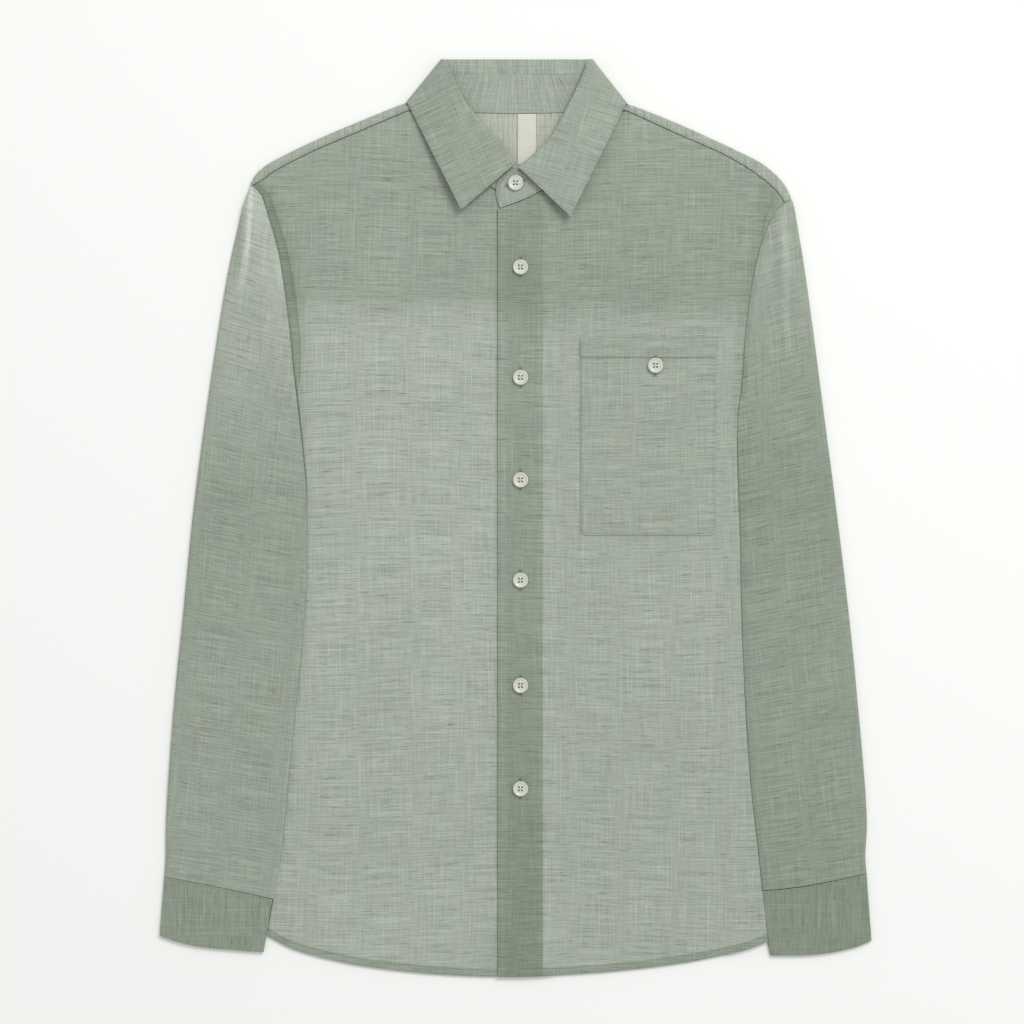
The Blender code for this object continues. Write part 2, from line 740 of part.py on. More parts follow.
# The stand's two ends lap at the centre front, the wearer's left one on top with a round end
STAND_SHARES = (0.0, 0.25, 0.5, 0.75, 1.0)
TAB_NECK, TAB_TOP, TAB_BOW, TAB_LEVEL = Place(-12.9, 265.6), Place(1.8, 299.8), 10.5, 5.2
UNDER_NECK, UNDER_TOP, UNDER_BOW, UNDER_LEVEL = Place(20.5, 265.8), Place(7.6, 297.6), 8.0, 3.5


def lap_end(neck, top, bow, level, towards):
    start = Vector(neck)
    end = Vector(top)
    aside = Vector((end.y - start.y, start.x - end.x)).normalized() * towards
    return [flat(start.lerp(end, s) + aside * bow * math.sin(math.pi * s), level) for s in STAND_SHARES]


stand_grid = [lap_end(TAB_NECK, TAB_TOP, TAB_BOW, TAB_LEVEL, -1)]
stand_grid += [[rung.neck.lerp(rung.top, s) for s in STAND_SHARES] for rung in ring]
stand_grid.append(lap_end(UNDER_NECK, UNDER_TOP, UNDER_BOW, UNDER_LEVEL, 1))
thick("collar_stand", stand_grid, STAND_CLOTH, SAGE)

LEAF_SHARES = (0.0, 0.22, 0.45, 0.7, 0.9)
ROLL_ANGLES = (90, 45, 0, -45, -90)


def leaf_section(rung):
    """From the leaf's free edge up to the roll, round it and down to the top of the stand."""
    up = rung.roll - rung.seam
    height = up.length
    up.normalize()
    shoulder = rung.seam + up * (height - ROLL_RADIUS)
    fall = shoulder + rung.outward * 2 * ROLL_RADIUS
    points = [rung.free.lerp(fall, s) for s in LEAF_SHARES]
    for angle in ROLL_ANGLES:
        a = math.radians(angle)
        points.append(shoulder + up * ROLL_RADIUS * math.cos(a)
                      + rung.outward * ROLL_RADIUS * (1 + math.sin(a)))
    points.append(rung.seam + up * SEAM_GAP)
    return points


thick("collar_leaf", [leaf_section(rung) for rung in ring], LEAF_CLOTH, SAGE_LIGHT)

# Sleeves and cuffs: flattened tubes, open at the armhole and at the wrist

SLEEVE_ROWS = 20
CUFF_ROWS = 4
# How high each sleeve is at its inner edge, where the body laps it, and how wide that edge is
INNER_EDGE = {"right": 5.0, "left": 3.6}
INNER_EDGE_WIDTH = 26.0
INNER_EDGE_TOP, INNER_EDGE_FOOT, INNER_EDGE_FADE = 60.0, -320.0, 60.0
# Where a sleeve begins to fall to its cuff's height, and over how long a run
CUFF_FALL_START, CUFF_FALL_RUN = -220.0, 80.0
# A tube's section at its two folded edges: how far in, and how far up of the whole height
EdgeRow = namedtuple("EdgeRow", "outer_in outer_up inner_in inner_up")
TUBE_FULL_WIDTH = 14.0
TUBE_EDGE = (
    EdgeRow(2.2, 0.0, 3.0, 0.0),
    EdgeRow(0.6, 0.18, 2.2, 0.3),
    EdgeRow(0.0, 0.5, 1.8, 0.5),
    EdgeRow(0.6, 0.82, 2.2, 0.7),
    EdgeRow(2.2, 1.0, 3.0, 1.0),
)


def run_place(points, lengths, inward):
    """The place a distance along a run of points."""
    for k in range(len(points) - 1):
        if inward <= lengths[k + 1] or k == len(points) - 2:
            share = (inward - lengths[k]) / (lengths[k + 1] - lengths[k])
            return points[k].lerp(points[k + 1], share)


def tube_section(stations, height, cloth):
    """One ring of a flattened tube, outer and inner: along the table, round, and back on top."""
    lengths = [0.0]
    for a, b in zip(stations, stations[1:]):
        lengths.append(lengths[-1] + (b - a).length)
    total = lengths[-1]
    scale = min(1.0, total / TUBE_FULL_WIDTH)
    rings = []
    for low, reach, rise in ((0.0, "outer_in", "outer_up"), (cloth, "inner_in", "inner_up")):
        edge = [(getattr(row, reach) * scale, getattr(row, rise)) for row in TUBE_EDGE]
        places = edge[::-1] + [(length, 0.0) for length in lengths[2:-2:3]]
        places += [(total - inward, up) for inward, up in edge]
        places += [(length, 1.0) for length in lengths[-2:0:-1]]
        ring = []
        for inward, up in places:
            p = run_place(stations, lengths, inward)
            ring.append((p.x, p.y, low + (height(p.x, p.y) - 2 * low) * up))
        rings.append(ring)
    return rings


def tube(name, sections, height, cloth, colour):
    outer = []
    inner = []
    for stations in sections:
        ring, hollow = tube_section(stations, height, cloth)
        outer.append(ring)
        inner.append(hollow)
    return wall(name, outer, inner, colour, around=True)


def patch(foot, top, left, right):
    """Rows of points inside four edges: foot to top up the two sides."""
    rows = len(left) - 1
    columns = len(foot) - 1
    plan = []
    for r in range(rows + 1):
        v = r / rows
        row = []
        for c in range(columns + 1):
            u = c / columns
            p = foot[c] * (1 - v) + top[c] * v + left[r] * (1 - u) + right[r] * u
            p -= (foot[0] * (1 - u) + foot[-1] * u) * (1 - v) + (top[0] * (1 - u) + top[-1] * u) * v
            row.append(p)
        plan.append(row)
    return plan


def sleeve_sections(side):
    """The sleeve's stations, from the armhole down to the cuff seam, outer edge first."""
    away = Vector((-SLEEVE_CLEAR if side == "right" else SLEEVE_CLEAR, 0.0))
    tip = Vector(SHOULDER_TIP[side])
    armhole = [tip] + [p + away for p in armhole_line[side]]
    cuff = spaced(smooth_line(CUFF_SEAM[side]), ARMHOLE_RUNS + 1)
    outer = [tip] + [Vector((getattr(row, side), row.y)) for row in SLEEVE_OUTER] + [cuff[0]]
    inner = [p + away for p in smooth_line(SIDE_SEAM[side]) if p.y > cuff[-1].y + 4] + [cuff[-1]]
    return patch(armhole, cuff, spaced(smooth_line(outer), SLEEVE_ROWS), spaced(inner, SLEEVE_ROWS))


def sleeve_height(side):
    """A sleeve's thickness as it lies: full at the armhole and soft along it, flat at the cuff."""
    def height(x, y):
        fall = ease((CUFF_FALL_START - y) / CUFF_FALL_RUN)
        base = SLEEVE_HEIGHT + (CUFF_HEIGHT - SLEEVE_HEIGHT) * fall
        beside = ease(1 - abs(x - edge_x(side, y)) / INNER_EDGE_WIDTH)
        beside *= ease((INNER_EDGE_TOP - y) / INNER_EDGE_FADE)
        beside *= ease((y - INNER_EDGE_FOOT) / INNER_EDGE_FADE)
        return base + (INNER_EDGE[side] - base) * beside + fold_lift(SLEEVE_FOLDS[side], x, y)

    return height


def cuff_sections(side):
    """A cuff's stations, from just under the sleeve's seam to its turned edge."""
    seam = spaced(smooth_line(CUFF_SEAM[side]), 5)
    edge = spaced(smooth_line(CUFF_EDGE[side]), 5)
    down = (edge[2] - seam[2]).normalized() * 2 * SEAM_GAP
    return [[(a + down).lerp(b, r / CUFF_ROWS) for a, b in zip(seam, edge)] for r in range(CUFF_ROWS + 1)]


for side in SIDES:
    tube("sleeve_" + side, sleeve_sections(side), sleeve_height(side), CLOTH, SAGE)
    tube("cuff_" + side, cuff_sections(side), lambda x, y: CUFF_HEIGHT, CUFF_CLOTH, SAGE)


# Buttons

ButtonRow = namedtuple("ButtonRow", "radius z")
BUTTON_SECTION = (
    ButtonRow(0.8, 0.0),
    ButtonRow(0.97, 0.25),
    ButtonRow(1.0, 0.55),
    ButtonRow(0.95, 0.9),
    ButtonRow(0.84, 1.0),
    ButtonRow(0.68, 0.82),
)
BUTTON_SIDES = 20


def button(name, place, level):
    """A round button with a raised rim, above the cloth that it fastens."""
    mesh = bmesh.new()
    rings = []
    for row in BUTTON_SECTION:
        ring = []
        for k in range(BUTTON_SIDES):
            angle = 2 * math.pi * k / BUTTON_SIDES
            ring.append(mesh.verts.new(Vector((
                place.x + BUTTON_RADIUS * row.radius * math.cos(angle),
                place.y + BUTTON_RADIUS * row.radius * math.sin(angle),
                level + BUTTON_HEIGHT * row.z,
            )) * MM))
        rings.append(ring)
    for low, high in zip(rings, rings[1:]):
        for k in range(BUTTON_SIDES):
            after = (k + 1) % BUTTON_SIDES
            mesh.faces.new((low[k], low[after], high[after], high[k]))
    mesh.faces.new(rings[0][::-1])
    mesh.faces.new(rings[-1])
    data = bpy.data.meshes.new(name)
    mesh.to_mesh(data)
    mesh.free()
    data.materials.append(material(name, STONE, 0.35))
    data.shade_smooth()
    data.set_sharp_from_angle(angle=SHARP_RIM)
    piece = bpy.data.objects.new(name, data)
    bpy.context.collection.objects.link(piece)


def seat(place, top):
    """The highest the cloth reaches under a button, and the gap above it."""
    heights = [top(place.x, place.y)]
    for k in range(8):
        angle = math.pi * k / 4
        rim = Vector((math.cos(angle), math.sin(angle))) * BUTTON_RADIUS + Vector(place)
        heights.append(top(rim.x, rim.y))
    return max(heights) + SEAM_GAP


for number, y in enumerate(PLACKET_BUTTONS, 1):
    place = Place(PLACKET_CENTRE, y)
    button("button_placket_%d" % number, place, seat(place, left_front_top))
button("button_neck", NECK_BUTTON, TAB_LEVEL + STAND_CLOTH / 2 + SEAM_GAP)
button("button_pocket", POCKET_BUTTON, seat(POCKET_BUTTON, left_front_top) + SEAM_GAP + CLOTH)
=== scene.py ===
"""The looks of a men's long-sleeve linen shirt, buttoned up and laid flat on its back.

+X is the wearer's left, +Y runs from the hem to the collar and +Z up from the table.
Sizes are in millimetres until a mesh is written in metres.
"""

import json
import math
from collections import namedtuple

import bpy
import numpy as np
from mathutils import Matrix, Vector

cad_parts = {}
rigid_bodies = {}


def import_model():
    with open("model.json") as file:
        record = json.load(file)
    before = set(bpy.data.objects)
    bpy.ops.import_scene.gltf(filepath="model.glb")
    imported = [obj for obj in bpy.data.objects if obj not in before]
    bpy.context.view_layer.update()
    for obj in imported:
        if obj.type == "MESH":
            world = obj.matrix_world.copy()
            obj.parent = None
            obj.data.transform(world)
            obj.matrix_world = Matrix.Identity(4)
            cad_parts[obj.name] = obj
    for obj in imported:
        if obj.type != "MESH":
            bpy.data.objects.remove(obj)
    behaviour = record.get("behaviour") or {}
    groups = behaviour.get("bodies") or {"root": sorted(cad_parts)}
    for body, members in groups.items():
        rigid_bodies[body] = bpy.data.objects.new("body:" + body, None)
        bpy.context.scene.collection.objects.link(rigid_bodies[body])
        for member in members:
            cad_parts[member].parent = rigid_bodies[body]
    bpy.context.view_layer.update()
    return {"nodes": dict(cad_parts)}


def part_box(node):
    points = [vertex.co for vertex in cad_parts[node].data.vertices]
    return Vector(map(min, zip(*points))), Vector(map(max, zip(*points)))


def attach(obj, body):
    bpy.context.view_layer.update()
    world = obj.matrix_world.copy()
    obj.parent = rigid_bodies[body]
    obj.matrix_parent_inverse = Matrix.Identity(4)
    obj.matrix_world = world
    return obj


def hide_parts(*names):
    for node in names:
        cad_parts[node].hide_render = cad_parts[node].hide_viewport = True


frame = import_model()

# Right front: the under one of the two, one layer of sheer slub linen cut with its warp down the shirt.
# Its plain edge holds the buttons. Sewn to the yoke, the back and the sleeve, and turned up 7 mm at the hem.

MM = 0.001
CLOTH = 1.2
SHEET = 0.7
PLACKET_CENTRE = 4.7
PLACKET_WIDTH = 38.6
FREE_EDGE = PLACKET_CENTRE - PLACKET_WIDTH / 2
STITCHED_EDGE = PLACKET_CENTRE + PLACKET_WIDTH / 2
YOKE_SEAM = 187.0
FRONT_LEVEL = 1.5
YOKE_FRONT_LEVEL = 2.8
FRONT_LENGTH = 700.0
STRAIGHT_HALF = 158.0
HEM_TURN = 7.0
ROLL_DROP, ROLL_REACH = 0.4, 1.6
THREAD_LIFT = 0.15
GRID = 3.2
SIDES = ("right", "left")
SIGN = {"right": -1.0, "left": 1.0}

HEM = ((-213.3, -359.1), (-186, -372.5), (-133, -385), (-65, -392.6), (0, -394.4), (73, -390.9),
       (142, -383), (193, -372.5), (217, -364.2))
ARMHOLE = {
    "right": ((-186, 95), (-189.5, 123), (-195.5, 176), (-203, 225), (-211, 255), (-217, 274.5),
              (-220, 279.5), (-225.4, 284.6)),
    "left": ((191, 90), (194.5, 115), (197.5, 155), (202.5, 195), (210.5, 232), (221.5, 259), (231, 270)),
}
SIDE_SEAM = {
    "right": (HEM[0], (-203, -298), (-192, -190), (-183.5, -105), (-180, -40), (-180.3, 25), (-186, 95)),
    "left": (HEM[-1], (209, -292), (200.5, -210), (194.8, -105), (193, -20), (190.5, 50), (191, 90)),
}
FRONT_SEAM = {
    "right": ((-84, 349.5), (-90, 348.8), (-95.8, 347.4), (-138, 329.5), (-172, 315), (-203.4, 299),
              (-217.5, 289.2), ARMHOLE["right"][-1]),
    "left": ((86.5, 349), (92.5, 348.6), (98.6, 347.6), (138.5, 329.5), (174.6, 313.8), (196.5, 301.8),
             (207.2, 294.6), (217.7, 286.6), (226.3, 278), ARMHOLE["left"][-1]),
}
NECKLINE = {
    "right": ((4.7, 272), (-16, 281.5), (-33, 293), (-51, 311), (-68, 332), (-81, 348), (-85.7, 355.4)),
    "left": ((4.7, 272), (24, 281.5), (41, 293), (59, 311), (74.5, 332), (85.5, 348), (89.4, 354.8)),
}
# The felled armhole seam: how wide its flat strip shows on the body, from the underarm to the shoulder
FELL = {
    "right": ((104, 0.0), (118, 4.5), (140, 8.0), (187, 9.5), (230, 8.8), (283, 7.5)),
    "left": ((90, 0.6), (200, 1.2), (232, 1.6), (244, 2.4), (258, 6.0), (270, 11.0), (284, 11.0)),
}
# Soft ridges, and troughs where the height is below nothing, that the cloth keeps from wear and folding
Fold = namedtuple("Fold", "x0 y0 x1 y1 width height")
BODY_FOLDS = (
    Fold(-150, 240, -110, 60, 20, 0.7),
    Fold(-70, 120, -95, -190, 24, 0.8),
    Fold(-165, -60, -140, -300, 18, 0.9),
    Fold(-45, -120, -60, -330, 20, 0.7),
    Fold(60, 260, 120, 190, 22, 0.6),
    Fold(165, 130, 150, -60, 18, 0.5),
    Fold(60, -60, 85, -300, 24, 0.8),
    Fold(165, -120, 150, -330, 20, 0.9),
    Fold(-186, 120, -120, 170, 9, -0.5),
    Fold(-188, 60, -130, 40, 12, 0.45),
    Fold(-18, 118, -75, 96, 9, 0.35),
    Fold(-18, 30, -60, 12, 8, -0.3),
    Fold(-18, -234, -62, -246, 8, 0.4),
    Fold(30, 212, 78, 224, 9, 0.35),
    Fold(30, -52, 95, -30, 10, 0.4),
    Fold(30, -145, 110, -118, 11, -0.4),
    Fold(188, 70, 130, 20, 12, 0.5),
    Fold(120, -150, 188, -70, 14, -0.45),
    Fold(-120, -180, -60, -120, 13, -0.4),
    Fold(-110, -340, -30, -300, 12, 0.4),
    Fold(60, -350, 150, -310, 13, -0.4),
)
# How dark the sheer front looks down its length, and darker still over the two layers of the yoke
Tone = namedtuple("Tone", "y share")
FRONT_TONE = {
    "right": (Tone(-394, 0.94), Tone(-250, 0.91), Tone(-80, 0.94), Tone(187, 0.95), Tone(350, 0.94)),
    "left": (Tone(-394, 0.90), Tone(-250, 0.88), Tone(-80, 0.89), Tone(187, 0.87), Tone(350, 0.94)),
}
YOKE_SHADE = 0.81
# The yoke's lower edge shows through the front as a small step over a soft blur, both begun below it
YOKE_STEP = {"right": 0.4, "left": 0.12}
STEP_BELOW, STEP_RUN = 4, 6
BLUR_BELOW, BLUR_RUN = 30, 34
# Painted shade on the body beside the felled armhole seam and, lighter, beside the sleeve's edge below it,
# and its width
FELL_SHADE, SIDE_SHADE, SHADE_WIDTH = 0.13, 0.04, 7
COLLAR_HALF = 84
shown = bpy.context.scene.collection.objects


def smooth_line(places, steps=12):
    """A smooth line through a few places."""
    p = np.array(places, dtype=float)
    p = np.vstack((2 * p[0] - p[1], p, 2 * p[-1] - p[-2]))
    t = np.linspace(0, 1, steps, endpoint=False)[:, None]
    runs = [b + ((c - a) * t + (2 * a - 5 * b + 4 * c - d) * t ** 2 + (3 * b - a - 3 * c + d) * t ** 3) / 2
            for a, b, c, d in zip(p, p[1:], p[2:], p[3:])]
    return np.vstack(runs + [p[-2:-1]])


def lengths(steps):
    """How long each step of points is."""
    return np.linalg.norm(steps, axis=-1)


def distances(line):
    """How far along a line each of its points is."""
    return np.concatenate(([0.0], np.cumsum(lengths(np.diff(line, axis=0)))))


def along(line, shares):
    """Points at shares of a line's length."""
    far = distances(line)
    return np.stack([np.interp(np.asarray(shares) * far[-1], far, part) for part in line.T], axis=1)


def stations(length, step=GRID):
    """Shares of a length, even, and close together at both ends, where cloth rolls over its edge."""
    near = np.array((0.0, 0.4, 1.0, 1.9))
    count = max(3, round(length / step))
    middle = np.linspace(near[-1] + 1, length - near[-1] - 1, count)
    return np.concatenate((near, middle, length - near[::-1])) / length


def ease(share):
    share = np.clip(share, 0.0, 1.0)
    return share * share * (3 - 2 * share)


def level_at(table, y):
    rows = sorted(table)
    return np.interp(y, [row.y for row in rows], [row.share for row in rows])


def fold_lift(folds, x, y):
    """How far soft folds lift the cloth: a bell across each, faded at its ends."""
    lift = np.zeros_like(x)
    for f in folds:
        run = np.array((f.x1 - f.x0, f.y1 - f.y0))
        share = ((x - f.x0) * run[0] + (y - f.y0) * run[1]) / (run @ run)
        away = ((x - f.x0) * run[1] - (y - f.y0) * run[0]) / math.sqrt(run @ run)
        lift += f.height * ease(share / 0.35) * ease((1 - share) / 0.35) * np.exp(-((away / f.width) ** 2))
    return lift


def patch(foot, top, left, right):
    """Rows of points inside four edges. left and right share their shares, and so do foot and top."""
    u_far = distances(foot)
    v_far = distances(right)
    u = (u_far / u_far[-1])[None, :, None]
    v = (v_far / v_far[-1])[:, None, None]
    sides = left[:, None] * (1 - u) + right[:, None] * u
    ends = foot[None] * (1 - v) + top[None] * v
    corners = (foot[0] * (1 - u) + foot[-1] * u) * (1 - v) + (top[0] * (1 - u) + top[-1] * u) * v
    return sides + ends - corners


def from_edges(plan):
    """How far each point is from the nearest edge, along its own row or column."""
    ends = (plan[:, :1], plan[:, -1:], plan[:1], plan[-1:])
    return np.minimum.reduce([lengths(plan - end) for end in ends])


def made_of(name, points, faces, cloth):
    """A new piece in the scene: a mesh from points in millimetres, in one material."""
    mesh = bpy.data.meshes.new(name)
    mesh.from_pydata((np.array(points) * MM).tolist(), [], faces)
    mesh.materials.append(cloth)
    mesh.shade_smooth()
    piece = bpy.data.objects.new(name, mesh)
    shown.link(piece)
    return piece


def shell(name, outer, inner, grain, cloth, tone=1.0, double=-1.0, near=99.0, around=False, keep=None):
    """A closed thin shell between two faces of points. grain maps the weave, the next three its tone, layers
    and painted seam shade.
    """
    rows, columns = outer.shape[:2]
    index = np.arange(rows * columns).reshape(rows, columns)
    if around:
        index = np.hstack((index, index[:, :1]))
    cells = np.stack((index[:-1, :-1], index[:-1, 1:], index[1:, 1:], index[1:, :-1]), axis=-1)
    cells = (cells if keep is None else cells[keep]).reshape(-1, 4)
    used = np.unique(cells)
    cells = np.searchsorted(used, cells).tolist()
    count = len(used)
    sides = {(q[k], q[k - 3]) for q in cells for k in range(4)}
    faces = cells + [[k + count for k in q[::-1]] for q in cells]
    faces += [[b, a, a + count, b + count] for a, b in sorted(sides) if (b, a) not in sides]
    piece = made_of(name, np.vstack((outer.reshape(-1, 3)[used], inner.reshape(-1, 3)[used])), faces, cloth)
    mesh = piece.data
    corners = np.empty(len(mesh.loops), dtype=np.int32)
    mesh.loops.foreach_get("vertex_index", corners)
    places = np.tile(grain.reshape(-1, 2)[used], (2, 1)) * MM
    mesh.uv_layers.new(name="grain").data.foreach_set("uv", places[corners].ravel())
    for title, values in (("tone", tone), ("double", double), ("near", near)):
        spread = np.tile(np.broadcast_to(values, (rows, columns)).ravel()[used], 2)
        mesh.attributes.new(title, "FLOAT", "POINT").data.foreach_set("value", spread)
    mesh.set_sharp_from_angle(angle=math.radians(50))
    return piece


def linear(code):
    """A colour written as sRGB hex, as linear light."""
    parts = [int(code[k:k + 2], 16) / 255 for k in (1, 3, 5)]
    return [c / 12.92 if c <= 0.04045 else ((c + 0.055) / 1.055) ** 2.4 for c in parts]


def node(tree, kind, inputs=(), **settings):
    """A shader node with its settings, and inputs that are plain values or other nodes' outputs."""
    made = tree.nodes.new("ShaderNode" + kind)
    for key, value in settings.items():
        setattr(made, key, value)
    for key, value in dict(inputs).items():
        if isinstance(value, bpy.types.NodeSocket):
            tree.links.new(value, made.inputs[key])
        else:
            made.inputs[key].default_value = value
    return made.outputs[0]


def plain(name, colour, roughness, ior=1.5):
    """A material of one colour. Returns it with its tree and its shader."""
    made = bpy.data.materials.new(name)
    made.use_nodes = True
    shader = made.node_tree.nodes["Principled BSDF"]
    shader.inputs["Base Color"].default_value = (*linear(colour), 1.0)
    shader.inputs["Roughness"].default_value = roughness
    shader.inputs["IOR"].default_value = ior
    return made, made.node_tree, shader


# The weave, in millimetres: threads long along u are weft and along v warp, each a noise drawn out and
# cut between two levels. Real threads are 0.4 mm apart, too fine to show, so these are about twice as coarse
Thread = namedtuple("Thread", "u v seed low high share")
WEAVE = (
    Thread(17.0, 0.85, 1.0, 0.61, 0.71, -0.46),
    Thread(45.0, 1.05, 2.0, 0.32, 0.68, -0.36),
    Thread(9.0, 0.8, 3.0, 0.35, 0.65, -0.17),
    Thread(0.9, 95.0, 4.0, 0.57, 0.70, 0.24),
    Thread(1.1, 32.0, 5.0, 0.35, 0.65, 0.15),
    Thread(80.0, 60.0, 6.0, 0.3, 0.7, 0.05),
)
WEAVE_MEAN = 1.14
DOUBLE_SHADE = 0.78
DOUBLE_BLUR = 0.25
GREEN_DEPTH = 0.44
PATCHES_PER_METRE = (28.0, 19.0, 0.0)
# Painted shade along seams and where one piece lies against another: how dark at the line, and the width it
# fades over
PAINTED_SEAM_SHADE = 0.50
PAINTED_SEAM_SHADE_WIDTH = 2.4


def linen(name, colour, cool, slub=1.0):
    """Slub linen, plain woven: matt and faintly furry, with dark slubs in its weft, duller where doubled."""
    made, tree, shader = plain(name, colour, 0.88, 1.53)
    grain = node(tree, "UVMap", uv_map="grain")
    shade = WEAVE_MEAN
    height = 0.0
    for row in WEAVE:
        drawn = node(tree, "VectorMath", {0: grain, 1: (1 / row.u / MM, 1 / row.v / MM, 0.0)},
                     operation="MULTIPLY")
        noise = node(tree, "TexNoise", {"Vector": drawn, "W": row.seed, "Scale": 1.0, "Detail": 2.0},
                     noise_dimensions="4D")
        thread = node(tree, "MapRange", {0: noise, 1: row.low, 2: row.high})
        shade = node(tree, "Math", {0: thread, 1: row.share * slub, 2: shade}, operation="MULTIPLY_ADD")
        if min(row.u, row.v) < 2:
            height = node(tree, "Math", {0: thread, 1: abs(row.share), 2: height}, operation="MULTIPLY_ADD")
    tone = node(tree, "Attribute", attribute_name="tone").node.outputs["Fac"]
    layers = node(tree, "Attribute", attribute_name="double").node.outputs["Fac"]
    doubled = node(tree, "MapRange", {0: layers, 1: -DOUBLE_BLUR, 2: DOUBLE_BLUR, 3: 1.0, 4: DOUBLE_SHADE})
    depth = node(tree, "Math", {0: tone, 1: doubled}, operation="MULTIPLY")
    # Painted shade: darker the nearer a point is to a seam, or to the edge of a piece lying against it
    near = node(tree, "Attribute", attribute_name="near").node.outputs["Fac"]
    seam_shaded = node(tree, "MapRange", {0: near, 1: 0.0, 2: PAINTED_SEAM_SHADE_WIDTH, 3: PAINTED_SEAM_SHADE, 4: 1.0},
                   interpolation_type="SMOOTHSTEP")
    depth = node(tree, "Math", {0: depth, 1: seam_shaded}, operation="MULTIPLY")
    depth = node(tree, "Math", {0: depth, 1: GREEN_DEPTH}, operation="LOGARITHM")
    depth = node(tree, "Math", {0: depth, 1: 1.0}, operation="ADD")
    cloud = node(tree, "VectorMath", {0: grain, 1: PATCHES_PER_METRE}, operation="MULTIPLY")
    cloud = node(tree, "TexNoise", {"Vector": cloud, "W": 9.0, "Scale": 1.0}, noise_dimensions="4D")
    cloud = node(tree, "MapRange", {0: cloud, 1: 0.35, 2: 0.65})
    tint = node(tree, "Mix", {0: cloud, 6: (*linear(colour), 1.0), 7: (*linear(cool), 1.0)},
                data_type="RGBA").node.outputs[2]
    deep = node(tree, "Gamma", {"Color": tint, "Gamma": depth})
    colour = node(tree, "VectorMath", {0: deep, "Scale": shade}, operation="SCALE")
    tree.links.new(colour, shader.inputs["Base Color"])
    bump = node(tree, "Bump", {"Height": height, "Strength": 0.5, "Distance": 0.3 * MM})
    tree.links.new(bump, shader.inputs["Normal"])
    shader.inputs["Sheen Weight"].default_value = 0.12
    shader.inputs["Specular IOR Level"].default_value = 0.35
    return made


def stitches(name, lines, pitch=3.0, length=1.9, width=0.5, thread=None):
    """Rows of lockstitch: little spindles of thread along lines of points, joined as one piece."""
    spindles = []
    for line in lines:
        line = np.array(line, dtype=float) + (0, 0, THREAD_LIFT)
        total = distances(line)[-1]
        count = max(1, int(total / pitch))
        middle = (np.arange(count) + 0.5) / count
        start, mid, end = [along(line, middle + k * length / 2 / total) for k in (-1, 0, 1)]
        side = np.cross(end - start, (0, 0, 1.0))
        side *= width / 2 / lengths(side)[..., None]
        up = np.array((0, 0, width / 2))
        spindles.append(np.stack((start, end, mid + side, mid + up, mid - side, mid - up), axis=1))
    points = np.vstack(spindles).reshape(-1, 3)
    corners = ((0, 2, 3), (0, 3, 4), (0, 4, 5), (0, 5, 2), (1, 3, 2), (1, 4, 3), (1, 5, 4), (1, 2, 5))
    faces = [[k + c for c in face] for k in range(0, len(points), 6) for face in corners]
    piece = made_of(name, points, faces, thread or sewing_thread)
    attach(piece, "root")
    return piece


TWISTS_PER_MM = 0.7


def spun(name, colour, worn):
    """Spun polyester thread: matt, a little uneven in colour along its twist."""
    made, tree, shader = plain(name, colour, 0.7, 1.53)
    place = node(tree, "TexCoord").node.outputs["Object"]
    twist = node(tree, "TexNoise", {"Vector": place, "Scale": TWISTS_PER_MM / MM})
    tint = node(tree, "Mix", {0: twist, 6: (*linear(colour), 1.0), 7: (*linear(worn), 1.0)},
                data_type="RGBA").node.outputs[2]
    tree.links.new(tint, shader.inputs["Base Color"])
    return made


sewing_thread = spun("sewing_thread", "#8a9382", "#98a18f")
sage_linen = linen("sage_linen", "#acb4a7", "#abb4a8")

armhole = {side: smooth_line(ARMHOLE[side]) for side in SIDES}
side_seam = {side: smooth_line(SIDE_SEAM[side]) for side in SIDES}
body_edge = {side: np.vstack((side_seam[side], armhole[side][1:])) for side in SIDES}
hem_line = smooth_line(HEM)


def hem_y(x):
    return np.interp(x, hem_line[:, 0], hem_line[:, 1])


def edge_x(side, y):
    """How far out the body reaches on a side."""
    return np.interp(y, body_edge[side][:, 1], body_edge[side][:, 0])


def body_lift(x, y):
    """The folds and creases of the fronts, faded out at the shoulders and beside the placket."""
    fade = ease((250 - y) / 60) * ease((np.abs(x - PLACKET_CENTRE) - 22) / 30)
    return fold_lift(BODY_FOLDS, x, y) * fade


def right_front_top(x, y):
    on_yoke = ease((y - YOKE_SEAM + 117) / 42)
    return FRONT_LEVEL + (YOKE_FRONT_LEVEL - FRONT_LEVEL) * on_yoke + CLOTH + body_lift(x, y)


def front_plan(side, start, neck, extra=()):
    """A front's points: straight down the shirt from its centre edge, then drawn out to its side."""
    sign = SIGN[side]
    top_line = np.vstack((neck, smooth_line(FRONT_SEAM[side])))
    order = np.argsort(top_line[:, 0])
    straight_end = STRAIGHT_HALF * sign
    x = start + (straight_end - start) * stations(abs(straight_end - start))
    x = np.sort(np.concatenate((x[:-3], extra)))[::int(sign)]
    top = np.interp(x, top_line[order, 0], top_line[order, 1])
    v = stations(FRONT_LENGTH)[:, None]
    straight = np.stack((np.broadcast_to(x, (len(v), len(x))), hem_y(x) + (top - hem_y(x)) * v), axis=2)
    corner = body_edge[side][0]
    tip = body_edge[side][-1]
    share = stations(abs(corner[0] - x[-1]))[3:]
    share = (share - share[0]) / (share[-1] - share[0])
    foot_x = x[-1] + (corner[0] - x[-1]) * share
    foot = np.stack((foot_x, hem_y(foot_x)), axis=1)
    top_x = x[-1] + (tip[0] - x[-1]) * share
    tops = np.stack((top_x, np.interp(top_x, top_line[order, 0], top_line[order, 1])), axis=1)
    tops[-1] = tip
    outer = patch(foot, tops, straight[:, -1], along(body_edge[side], v[:, 0]))
    return np.concatenate((straight, outer[:, 1:]), axis=1)


def neck_edge(side):
    """A front's neck edge, just outside the line where the collar stand begins."""
    line = np.array(NECKLINE[side][:-1]) + (0.7 * SIGN[side], -0.9)
    lapped = (2 * PLACKET_CENTRE - line[1][0], 2 * line[0][1] - line[1][1] + (2.6 if side == "left" else 0.0))
    return np.vstack((lapped, line))


